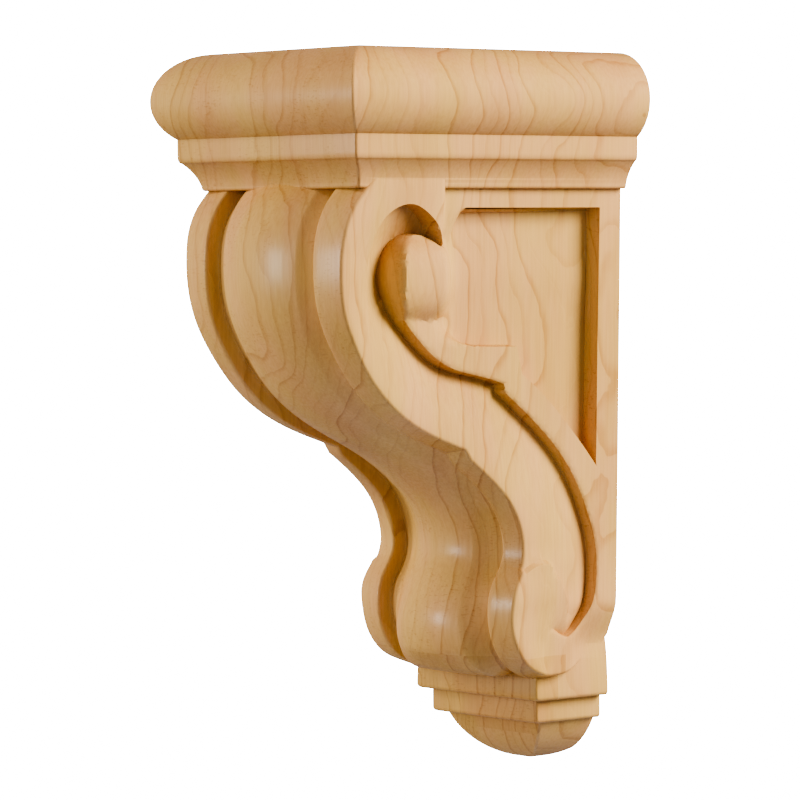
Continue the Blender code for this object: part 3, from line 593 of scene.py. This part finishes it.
def section_shape(edge_x, z):
    """Half of the front's cross-section for every row: half-widths and rises, from the middle out.

    The roll is a parabola from its crown to its shoulder. A straight flank leads down to the groove,
    whose wall rises to the band. The band falls gently to its outer edge, which is a quarter circle.
    """
    shoulder_x, crown, shoulder = (value[:, None] for value in stations(ROLL_STATIONS, z))
    edge_x = edge_x[:, None]
    wall_x = np.minimum(GROOVE_WALL_X, edge_x - BAND_LEAST_WIDTH)
    foot_x = wall_x - GROOVE_FLOOR_WIDTH
    share = np.linspace(0.0, 1.0, ROLL_COLUMNS)[None]
    roll_x = shoulder_x * share
    roll = crown - (crown - shoulder) * share ** 2
    share = np.linspace(0.0, 1.0, FLANK_COLUMNS)[None, 1:]
    flank_x = shoulder_x + (foot_x - shoulder_x) * share
    flank = shoulder + (GROOVE_FLOOR_RISE - shoulder) * share - FLANK_HOLLOW * share * (1.0 - share)
    wall_top = wall_x + WALL_PLACES[-1]
    groove_x = np.concatenate([foot_x + FLOOR_PLACES, wall_x + WALL_PLACES], axis=1)
    high = BAND_INNER_RISE
    groove = np.concatenate([GROOVE_FLOOR_RISE + GROOVE_RISES, [high - BAND_INNER_ROUND]])
    groove = groove[None] + 0.0 * edge_x
    turn = np.linspace(0.0, np.pi / 2.0, TURN_STEPS)[None, 1:]
    inner_x = wall_top + BAND_INNER_ROUND * (1.0 - np.cos(turn))
    inner = high - BAND_INNER_ROUND + BAND_INNER_ROUND * np.sin(turn) * BAND_INNER_SHARE + 0.0 * edge_x
    share = np.linspace(0.0, 1.0, BAND_COLUMNS)[None, 1:]
    start_x = wall_top + BAND_INNER_ROUND
    end_x = edge_x - EDGE_ROUND
    band_x = start_x + (end_x - start_x) * share
    band = (high - BAND_START_DROP) * (1.0 - share) + BAND_SWELL * share * (1.0 - share) + 0.0 * edge_x
    corner_x = end_x + EDGE_ROUND * np.sin(turn)
    corner = EDGE_ROUND * (np.cos(turn) - 1.0) + 0.0 * edge_x
    return (np.concatenate([roll_x, flank_x, groove_x, inner_x, band_x, corner_x], axis=1),
            np.concatenate([roll, flank, groove, inner, band, corner], axis=1))


def front_grid(bands, roll, floor, edge_x):
    """Points of the right half of the front, one row of columns for every step down the profile.

    Each column leaves its path along the path's outward normal. Over the roll's flank the path turns
    from the roll's into the groove's, and over the groove's floor it turns into the bands'.
    """
    x, rise = section_shape(edge_x, roll[:, 1])
    fade = smooth(FADE_END_Y, FADE_START_Y, roll[:, 0])[:, None]
    rise[:, :-CORNER_COLUMNS] *= fade
    shoulder_x = stations(ROLL_STATIONS, roll[:, 1])[0][:, None]
    on_floor = smooth(shoulder_x, GROOVE_WALL_X - GROOVE_FLOOR_WIDTH, x)[..., None]
    on_band = smooth(GROOVE_WALL_X - GROOVE_FLOOR_WIDTH, GROOVE_WALL_X, x)[..., None]
    shares = (1.0 - on_floor, on_floor * (1.0 - on_band), on_band)
    line = sum(share * path[:, None] for share, path in zip(shares, (roll, floor, bands)))
    normal = sum(share * outward_of(path)[:, None] for share, path in zip(shares, (roll, floor, bands)))
    normal /= np.linalg.norm(normal, axis=2)[..., None]
    yz = line + normal * rise[..., None]
    return np.concatenate([x[..., None], yz], axis=2)


def profile_paths():
    """Three paths down the profile, row by row: the bands' stepped one, the roll's, and the grooves'."""
    bands = np.concatenate([spline(BELLY_POINTS, BELLY_ROWS), spline(SCROLL_POINTS, SCROLL_ROWS)])
    floor_points = ROLL_POINTS[:ROLL_MIDDLE + 1] + SCROLL_POINTS[1:]
    paths = [bands]
    for points in (ROLL_POINTS, floor_points):
        fine = spline(points, PATH_STEPS)
        middle = np.argmin(np.linalg.norm(fine - np.array(points[ROLL_MIDDLE]) * MM, axis=1))
        rows = np.concatenate([np.linspace(0, middle, BELLY_ROWS),
                               np.linspace(middle + NOTCH_GAP, PATH_STEPS - 1, SCROLL_ROWS)])
        paths.append(fine[rows.astype(int)])
    return paths


def side_surface(relief, loop):
    """The (Y, Z) places over the side elevation, and triangles between them that keep every crease.

    The triangles are a constrained Delaunay net over the outline, the creases, the dense places and
    a staggered grid.
    """
    fixed = [loop] + relief.creases()
    edges = [(i, (i + 1) % len(loop)) for i in range(len(loop))]
    start = len(loop)
    for line in fixed[1:]:
        edges += [(start + i, start + i + 1) for i in range(len(line) - 1)]
        start += len(line)
    fixed = np.concatenate(fixed)
    low = loop.min(axis=0)
    high = loop.max(axis=0)
    y, z = np.meshgrid(np.arange(low[0], high[0], SIDE_GRID), np.arange(low[1], high[1], SIDE_GRID))
    y = y + 0.5 * SIDE_GRID * (np.arange(len(y)) % 2)[:, None]
    grid = np.stack([y.ravel(), z.ravel()], axis=1)
    kept = fixed
    for more, room in ((relief.dense_places(), DENSE_ROOM), (grid, GRID_ROOM)):
        more = more[inside(loop, more)]
        kept = np.concatenate([kept, more[spaced(kept, more, room)]])
    kept = [tuple(place) for place in kept]
    verts, _, faces, *_ = delaunay_2d_cdt(kept, edges, [], ALL_TRIANGLES, NET_EPSILON, False)
    verts = np.array([tuple(place) for place in verts])
    faces = np.array(faces)
    return verts, faces[inside(loop, verts[faces].mean(axis=1))]


def spaced(taken, more, room):
    """True for the places of more that have no taken place in their cell of a net or in one beside it."""
    taken = np.floor(taken / room).astype(int) @ (NET_STRIDE, 1)
    more = np.floor(more / room).astype(int) @ (NET_STRIDE, 1)
    beside = [across * NET_STRIDE + up for across in (-1, 0, 1) for up in (-1, 0, 1)]
    return ~np.any([np.isin(more + cell, taken) for cell in beside], axis=0)


def mesh_object(name, points, faces):
    """A new object from an array of points and lists of faces."""
    mesh = bpy.data.meshes.new(name)
    mesh.from_pydata(np.asarray(points).tolist(), [], faces)
    mesh.validate()
    item = bpy.data.objects.new(name, mesh)
    bpy.context.scene.collection.objects.link(item)
    return item


def carved_body():
    """The body between cap and base: the front sheet, the two side reliefs, the back and the top."""
    bands, roll, floor = profile_paths()
    front = bands - outward_of(bands) * EDGE_ROUND
    foot_z = front[-1, 1] + BACK_FOOT_RISE
    top_z = front[0, 1]
    back = np.array([(0.0, z) for z in np.linspace(foot_z, top_z, BACK_STEPS)])
    top = np.array([(y, top_z) for y in np.linspace(0.0, front[0, 0], TOP_STEPS)[1:-1]])
    loop = np.concatenate([front, back, top])
    relief = SideRelief(front)
    places, triangles = side_surface(relief, loop)
    heights = relief.height(places)
    rows = len(front)
    grid = front_grid(bands, roll, floor, heights[:rows])
    inner = grid[:, :-1]
    right = np.column_stack([heights, places])
    left = right * (-1.0, 1.0, 1.0)
    mirrored = inner[:, :0:-1] * (-1.0, 1.0, 1.0)
    middle = np.concatenate([mirrored, inner], axis=1)
    count = len(places)
    width = middle.shape[1]
    points = np.concatenate([right, left, middle.reshape(-1, 3)])
    index = 2 * count + np.arange(rows * width).reshape(rows, width)
    index = np.column_stack([count + np.arange(rows), index, np.arange(rows)])
    sheet = np.stack([index[:-1, :-1], index[1:, :-1], index[1:, 1:], index[:-1, 1:]], axis=2).reshape(-1, 4)
    ring = np.arange(rows, len(loop))
    strip = np.column_stack([ring[:-1] + count, ring[1:] + count, ring[1:], ring[:-1]])
    faces = triangles.tolist() + (triangles[:, ::-1] + count).tolist() + sheet.tolist() + strip.tolist()
    faces.append([index[-1, 0], ring[0] + count, ring[0], *index[-1, :0:-1]])
    faces.append([ring[-1] + count, *index[0], ring[-1]])
    return mesh_object("carved_body", points, faces)


def stack_of_rings(name, rings, tip=None):
    """A closed solid through level rings given as (half-width, front Y, back Y, Z), top first.

    Each ring is a rectangle with its two front corners rounded. The rings are joined side by side,
    and the last one is closed flat or drawn to a tip.
    """
    rings = np.array(rings)
    half, front, back, z = rings.T[..., None]
    radius = np.minimum(MITRE_ROUND, MITRE_LIMIT * np.minimum(half, back - front))
    turn = np.linspace(0.0, np.pi / 2.0, MITRE_STEPS + 1)[None]
    left_x = -half + radius * (1.0 - np.cos(turn))
    left_y = front + radius * (1.0 - np.sin(turn))
    x = np.concatenate([-half, left_x, -left_x[:, ::-1], half], axis=1)
    y = np.concatenate([back, left_y, left_y[:, ::-1], back], axis=1)
    points = np.stack([x, y, z + 0.0 * x], axis=2)
    count, size = x.shape
    index = np.arange(count * size).reshape(count, size)
    after = np.roll(index, -1, axis=1)
    faces = np.stack([index[:-1], index[1:], after[1:], after[:-1]], axis=2).reshape(-1, 4).tolist()
    faces.append(index[0].tolist())
    points = points.reshape(-1, 3)
    if tip is None:
        faces.append(index[-1, ::-1].tolist())
    else:
        faces += [[i, len(points), k] for i, k in zip(index[-1], after[-1])]
        points = np.concatenate([points, [tip]])
    return mesh_object(name, points, faces)


def cap_stack():
    """Bullnose, fascia, cove and lip, swept round the front and both sides.

    The bullnose and the cove are arcs. The fascia's lower edge and the lip are quarter ellipses.
    """
    centre_z = TOP_Z - BULLNOSE_RADIUS
    low = math.asin((FASCIA_TOP_Z - centre_z) / BULLNOSE_RADIUS)
    turn = np.linspace(math.pi / 2.0, low, BULLNOSE_STEPS)
    nose = np.column_stack([BULLNOSE_CENTRE_X + BULLNOSE_RADIUS * np.cos(turn),
                            centre_z + BULLNOSE_RADIUS * np.sin(turn)])
    turn = np.linspace(0.0, math.pi / 2.0, FASCIA_EDGE_STEPS)
    edge = np.column_stack([FASCIA_X - (FASCIA_X - COVE_TOP_X) * (1.0 - np.cos(turn)),
                            COVE_TOP_Z + FASCIA_EDGE * (1.0 - np.sin(turn))])
    slope = np.linspace(COVE_TOP_SLOPE, COVE_LOW_SLOPE, COVE_STEPS)
    centre_x = COVE_TOP_X + COVE_RADIUS * math.cos(COVE_TOP_SLOPE)
    centre_z = COVE_TOP_Z - COVE_RADIUS * math.sin(COVE_TOP_SLOPE)
    cove = np.column_stack([centre_x - COVE_RADIUS * np.cos(slope), centre_z + COVE_RADIUS * np.sin(slope)])
    lip_x, lip_z = cove[-1]
    turn = np.linspace(0.0, math.pi / 2.0, TURN_STEPS)[1:]
    lip = np.column_stack([lip_x - LIP_EDGE * (1.0 - np.cos(turn)),
                           lip_z + (LIP_UNDER_Z - lip_z) * np.sin(turn)])
    fascia = [(FASCIA_X, FASCIA_TOP_Z - SEAM)]
    x, z = np.concatenate([nose, fascia, edge, cove[1:], lip]).T
    return stack_of_rings("cap", np.column_stack([x, -x - CAP_EXTRA_DEPTH, 0.0 * x, z]))


def eased(x, z):
    """The lower edge of a block, as a quarter circle from its face to its underside."""
    turn = np.linspace(0.0, math.pi / 2.0, TURN_STEPS)
    return np.column_stack([x - STEP_EDGE * (1.0 - np.cos(turn)), z + STEP_EDGE * (1.0 - np.sin(turn))])


def base_stack():
    """The waisted block, the plinth and the drop, whose faces are arcs, under the scroll."""
    waist = np.array([(BLOCK_TOP_X, BLOCK_TOP_Z), (BLOCK_WAIST_X, BLOCK_WAIST_Z),
                      (BLOCK_SWELL_X, BLOCK_SWELL_Z), (BLOCK_X, BLOCK_FOOT_Z)])
    waist = spline(waist / MM, BLOCK_STEPS)
    block = np.concatenate([waist, eased(BLOCK_X, BLOCK_UNDER_Z)])
    plinth = np.concatenate([[(PLINTH_X, BLOCK_UNDER_Z - SEAM)], eased(PLINTH_X, PLINTH_UNDER_Z)])
    rings = [np.column_stack([part[:, 0], -part[:, 0] - extra, 0.0 * part[:, 0], part[:, 1]])
             for part, extra in ((block, BLOCK_EXTRA_DEPTH), (plinth, PLINTH_EXTRA_DEPTH))]
    drop = PLINTH_UNDER_Z - SEAM - TIP_Z
    radius = (DROP_X ** 2 + drop ** 2) / (2.0 * drop)
    depth = drop * np.linspace(0.0, 1.0, DROP_STEPS, endpoint=False) ** DROP_STEP_POWER
    half = np.sqrt(radius ** 2 - (radius - drop + depth) ** 2)
    reach = DROP_DEPTH_SCALE * half
    rings.append(np.column_stack([half, DROP_CENTRE_Y - reach, np.minimum(0.0, DROP_CENTRE_Y + reach),
                                  PLINTH_UNDER_Z - SEAM - depth]))
    return stack_of_rings("base", np.concatenate(rings), (0.0, DROP_CENTRE_Y, TIP_Z))


def united(name, body, parts):
    """One closed mesh object: the body with the other parts joined to it."""
    for part in parts:
        union = body.modifiers.new(part.name, "BOOLEAN")
        union.operation = "UNION"
        union.solver = "EXACT"
        union.object = part
    graph = bpy.context.evaluated_depsgraph_get()
    mesh = bpy.data.meshes.new_from_object(body.evaluated_get(graph))
    for item in [body] + parts:
        bpy.data.objects.remove(item, do_unlink=True)
    mesh.name = name
    mesh.shade_smooth()
    mesh.set_sharp_from_angle(angle=SMOOTH_ANGLE)
    item = bpy.data.objects.new(name, mesh)
    bpy.context.scene.collection.objects.link(item)
    return item


def new_node(tree, kind, inputs=None, **settings):
    """A shader node with its settings and inputs, where an input is a number, a colour or a socket."""
    node = tree.nodes.new(kind)
    for name, value in settings.items():
        setattr(node, name, value)
    for name, value in (inputs or {}).items():
        if isinstance(value, bpy.types.NodeSocket):
            tree.links.new(value, node.inputs[name])
        else:
            node.inputs[name].default_value = value
    return node


def reckon(tree, operation, *values):
    """The result of one Math node."""
    return new_node(tree, "ShaderNodeMath", dict(enumerate(values)), operation=operation).outputs[0]


def eased_range(tree, value, low, high, start=0.0, end=1.0):
    """A value carried smoothly from the range low to high into the range start to end."""
    inputs = {"Value": value, "From Min": low, "From Max": high, "To Min": start, "To Max": end}
    return new_node(tree, "ShaderNodeMapRange", inputs, interpolation_type="SMOOTHSTEP").outputs["Result"]


def blended(tree, share, first, second, blend_type="MIX"):
    """A colour that goes from the first to the second as the share goes from 0 to 1."""
    inputs = {MIX_SHARE: share, MIX_FIRST: first, MIX_SECOND: second}
    node = new_node(tree, "ShaderNodeMix", inputs, data_type="RGBA", blend_type=blend_type)
    return node.outputs[MIX_RESULT]


def multiplied(tree, first, second):
    """The product of two colours."""
    return blended(tree, 1.0, first, second, "MULTIPLY")


def vector(tree, operation, *values):
    """The Vector Math node of one operation."""
    return new_node(tree, "ShaderNodeVectorMath", dict(enumerate(values)), operation=operation)


def noise(tree, places, waves):
    """Noise from 0 to 1 over places: its waves to the metre along X, Y and Z, and its detail."""
    *stretch, detail = waves
    inputs = {"Vector": vector(tree, "MULTIPLY", places, stretch).outputs[0], "Scale": 1.0, "Detail": detail}
    return new_node(tree, "ShaderNodeTexNoise", inputs).outputs["Fac"]


def glued_staves(tree, x, y, z):
    """The colour of the stave at each place, and its pith: X, Y and the spacing of its rings.

    Every stave is a range of X and Y. Each later one in the list covers those before it.
    """
    above = reckon(tree, "GREATER_THAN", z, BASE_SEAM_Z)
    below = reckon(tree, "SUBTRACT", 1.0, above)
    masks = {"front_post": reckon(tree, "MULTIPLY", above, reckon(tree, "LESS_THAN", y, POST_BACK_Y)),
             "middle": reckon(tree, "MULTIPLY", above, reckon(tree, "LESS_THAN", x, MIDDLE_X)),
             "far_left": reckon(tree, "MULTIPLY", above, reckon(tree, "LESS_THAN", x, FAR_LEFT_X)),
             "base_front": reckon(tree, "MULTIPLY", below, reckon(tree, "LESS_THAN", y, BASE_FRONT_Y)),
             "base_left": reckon(tree, "MULTIPLY", below, reckon(tree, "LESS_THAN", x, BASE_LEFT_X))}
    colour = BLACK
    pith = BLACK
    for name, (stave_colour, stave_pith) in STAVES.items():
        mask = masks.get(name, 1.0)
        colour = blended(tree, mask, colour, (*stave_colour, 1.0))
        pith = blended(tree, mask, pith, (*stave_pith, 1.0))
    return colour, pith


def ring_lines(tree, places, x, y, pith):
    """How dark the growth rings are, from 0 to 1, and each ring's own depth of colour.

    The distance from the stave's pith, warped by slow noise, is divided by the spacing. What is left
    over from a whole number runs from 0 to 1 across a ring, and the thin late wood lies near its end.
    """
    parts = new_node(tree, "ShaderNodeSeparateColor", {"Color": pith}).outputs
    across = reckon(tree, "SUBTRACT", x, parts["Red"])
    along = reckon(tree, "SUBTRACT", y, parts["Green"])
    distance = reckon(tree, "SQRT", reckon(tree, "ADD", reckon(tree, "MULTIPLY", across, across),
                                           reckon(tree, "MULTIPLY", along, along)))
    slow = reckon(tree, "SUBTRACT", noise(tree, places, SLOW_WAVES), 0.5)
    quick = reckon(tree, "SUBTRACT", noise(tree, places, QUICK_WAVES), 0.5)
    warp = reckon(tree, "ADD", reckon(tree, "MULTIPLY", slow, RING_SLOW_WARP),
                  reckon(tree, "MULTIPLY", quick, RING_QUICK_WARP))
    aside = vector(tree, "SUBTRACT", places, BULLSEYE_PLACE).outputs[0]
    aside = vector(tree, "DIVIDE", aside, BULLSEYE_REACH).outputs[0]
    lift = eased_range(tree, vector(tree, "LENGTH", aside).outputs["Value"], 0.0, 1.0, BULLSEYE_LIFT, 0.0)
    warp = reckon(tree, "ADD", warp, lift)
    count = reckon(tree, "DIVIDE", reckon(tree, "ADD", distance, warp), parts["Blue"])
    part = reckon(tree, "FRACT", count)
    late = reckon(tree, "MULTIPLY", eased_range(tree, part, *RING_RISE), eased_range(tree, part, *RING_END))
    late = reckon(tree, "POWER", late, RING_SHARPNESS)
    whole = reckon(tree, "FLOOR", count)
    own = new_node(tree, "ShaderNodeTexWhiteNoise", {"W": whole}, noise_dimensions="1D")
    return late, own.outputs["Value"]


def maple():
    """Clear-lacquered maple: staves with growth rings, fibres and ray flecks, and darker end grain on faces
    turned up or down, which also paints in the shade on the undersides.
    """
    material = bpy.data.materials.new("maple")
    material.use_nodes = True
    tree = material.node_tree
    shader = tree.nodes["Principled BSDF"]
    source = new_node(tree, "ShaderNodeTexCoord").outputs
    places = source["Object"]
    x, y, z = new_node(tree, "ShaderNodeSeparateXYZ", {"Vector": places}).outputs
    normal = new_node(tree, "ShaderNodeSeparateXYZ", {"Vector": source["Normal"]}).outputs
    colour, pith = glued_staves(tree, x, y, z)
    tone = eased_range(tree, noise(tree, places, TONE_WAVES), *TONE_RANGE)
    tint = blended(tree, tone, (*PINK_TINT, 1.0), (*YELLOW_TINT, 1.0))
    colour = multiplied(tree, colour, tint)
    late, own = ring_lines(tree, places, x, y, pith)
    fibre = noise(tree, places, FIBRE_WAVES)
    cloud = noise(tree, places, CLOUD_WAVES)
    patches = noise(tree, places, PATCH_WAVES)
    dashes = noise(tree, places, DASH_WAVES)
    front = eased_range(tree, reckon(tree, "MULTIPLY", normal["Y"], -1.0), *FRONT_RANGE)
    fleck = reckon(tree, "MULTIPLY", eased_range(tree, dashes, *DASH_RANGE), front)
    fleck = reckon(tree, "MULTIPLY", fleck, eased_range(tree, patches, *PATCH_RANGE))
    # Painted shade: faces turned up or down are darkened, as end grain is, and this also stands in for the
    # shade that falls on the undersides.
    end_grain_and_painted_shade = reckon(tree, "POWER", reckon(tree, "ABSOLUTE", normal["Z"]), END_GRAIN_AND_SHADE_POWER)
    ring = reckon(tree, "MULTIPLY", late, eased_range(tree, own, 0.0, 1.0, RING_FAINTEST, 1.0))
    shade = reckon(tree, "MULTIPLY", ring, RING_DARKNESS)
    shade = reckon(tree, "ADD", shade, reckon(tree, "MULTIPLY", fleck, FLECK_DARKNESS))
    shade = reckon(tree, "ADD", shade, reckon(tree, "MULTIPLY", end_grain_and_painted_shade, END_GRAIN_AND_SHADE_DARKNESS))
    for wave, limits, darkness in ((fibre, FIBRE_RANGE, FIBRE_DARKNESS),
                                   (cloud, CLOUD_RANGE, CLOUD_DARKNESS)):
        shade = reckon(tree, "ADD", shade, eased_range(tree, wave, *limits, -darkness, darkness))
    shade = reckon(tree, "ADD", shade, reckon(tree, "MULTIPLY", own, OWN_RING_DARKNESS))
    stained = blended(tree, shade, colour, multiplied(tree, colour, (*DEEP_TINT, 1.0)))
    stained.node.clamp_factor = False
    tree.links.new(stained, shader.inputs["Base Color"])
    tree.links.new(eased_range(tree, fibre, *FIBRE_RANGE, *ROUGHNESS), shader.inputs["Roughness"])
    shader.inputs["Specular IOR Level"].default_value = SPECULAR_LEVEL
    shader.inputs["Coat Weight"].default_value = COAT_WEIGHT
    shader.inputs["Coat Roughness"].default_value = COAT_ROUGHNESS
    height = reckon(tree, "ADD", reckon(tree, "MULTIPLY", fibre, FIBRE_HEIGHT),
                    reckon(tree, "MULTIPLY", late, RING_HEIGHT))
    inputs = {"Height": height, "Strength": BUMP_STRENGTH, "Distance": BUMP_DISTANCE}
    bump = new_node(tree, "ShaderNodeBump", inputs)
    tree.links.new(bump.outputs["Normal"], shader.inputs["Normal"])
    return material


def placed_matrix(right, up, back, place):
    """The matrix of an object with these three axes at a place."""
    rows = np.column_stack([right, up, back, place])
    return Matrix(np.concatenate([rows, [(0.0, 0.0, 0.0, 1.0)]]).tolist())


def area_light(name, place, width, height, power, mirrored):
    """A soft box that looks at the middle of the bracket."""
    light = bpy.data.lights.new(name, "AREA")
    light.shape = "RECTANGLE"
    light.size = width
    light.size_y = height
    light.energy = power
    light.color = LIGHT_COLOUR
    item = bpy.data.objects.new(name, light)
    item.visible_glossy = mirrored
    back = np.array(place) - np.array(LOOK_AT)
    back /= np.linalg.norm(back)
    right = np.cross((0.0, 0.0, 1.0), back)
    right /= np.linalg.norm(right)
    item.matrix_world = placed_matrix(right, np.cross(back, right), back, place)
    bpy.context.scene.collection.objects.link(item)


def light_place(azimuth, elevation):
    """A place at the lights' distance, by azimuth from the front towards +X, and elevation, in degrees."""
    azimuth = math.radians(azimuth)
    elevation = math.radians(elevation)
    across = LIGHT_DISTANCE * math.cos(elevation)
    return (LOOK_AT[0] + across * math.sin(azimuth), LOOK_AT[1] - across * math.cos(azimuth),
            LOOK_AT[2] + LIGHT_DISTANCE * math.sin(elevation))


def studio():
    """A pale floor well below the bracket, a white surround and the soft boxes."""
    half = FLOOR_HALF
    floor = mesh_object("floor", [(-half, -half, FLOOR_Z), (half, -half, FLOOR_Z), (half, half, FLOOR_Z),
                                  (-half, half, FLOOR_Z)], [(0, 1, 2, 3)])
    pale = bpy.data.materials.new("pale_floor")
    pale.use_nodes = True
    shader = pale.node_tree.nodes["Principled BSDF"]
    shader.inputs["Base Color"].default_value = FLOOR_COLOUR
    shader.inputs["Roughness"].default_value = FLOOR_ROUGHNESS
    floor.data.materials.append(pale)
    world = bpy.data.worlds.new("surround")
    world.use_nodes = True
    tree = world.node_tree
    fill = tree.nodes["Background"]
    fill.inputs["Color"].default_value = WHITE
    fill.inputs["Strength"].default_value = SURROUND_STRENGTH
    white = tree.nodes.new("ShaderNodeBackground")
    white.inputs["Color"].default_value = WHITE
    white.inputs["Strength"].default_value = WHITE_STRENGTH
    path = tree.nodes.new("ShaderNodeLightPath")
    blend = tree.nodes.new("ShaderNodeMixShader")
    tree.links.new(path.outputs["Is Camera Ray"], blend.inputs["Fac"])
    tree.links.new(fill.outputs["Background"], blend.inputs[1])
    tree.links.new(white.outputs["Background"], blend.inputs[2])
    tree.links.new(blend.outputs["Shader"], tree.nodes["World Output"].inputs["Surface"])
    bpy.context.scene.world = world
    for name, (azimuth, elevation, width, height, power, mirrored) in LIGHTS.items():
        area_light(name, light_place(azimuth, elevation), width, height, power, mirrored)
    bpy.context.scene.view_settings.view_transform = "AgX"
    bpy.context.scene.view_settings.look = "AgX - Medium High Contrast"


def camera():
    """The camera at the photograph's viewing angle, from its azimuth, elevation and roll."""
    azimuth, elevation, roll = CAMERA_AZIMUTH, CAMERA_ELEVATION, CAMERA_ROLL
    back = np.array([math.sin(azimuth) * math.cos(elevation), -math.cos(azimuth) * math.cos(elevation),
                     math.sin(elevation)])
    level = np.array([math.cos(azimuth), math.sin(azimuth), 0.0])
    upright = np.cross(back, level)
    right = math.cos(roll) * level + math.sin(roll) * upright
    up = math.cos(roll) * upright - math.sin(roll) * level
    data = bpy.data.cameras.new("camera")
    data.sensor_width = CAMERA_SENSOR
    data.lens = CAMERA_LENS
    item = bpy.data.objects.new("camera", data)
    item.matrix_world = placed_matrix(right, up, back, CAMERA_PLACE)
    bpy.context.scene.collection.objects.link(item)
    bpy.context.scene.camera = item


corbel = united("carved_corbel", carved_body(), [cap_stack(), base_stack()])
corbel.data.materials.clear()
corbel.data.materials.append(maple())
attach(corbel, "root")
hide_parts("corbel")
studio()
camera()
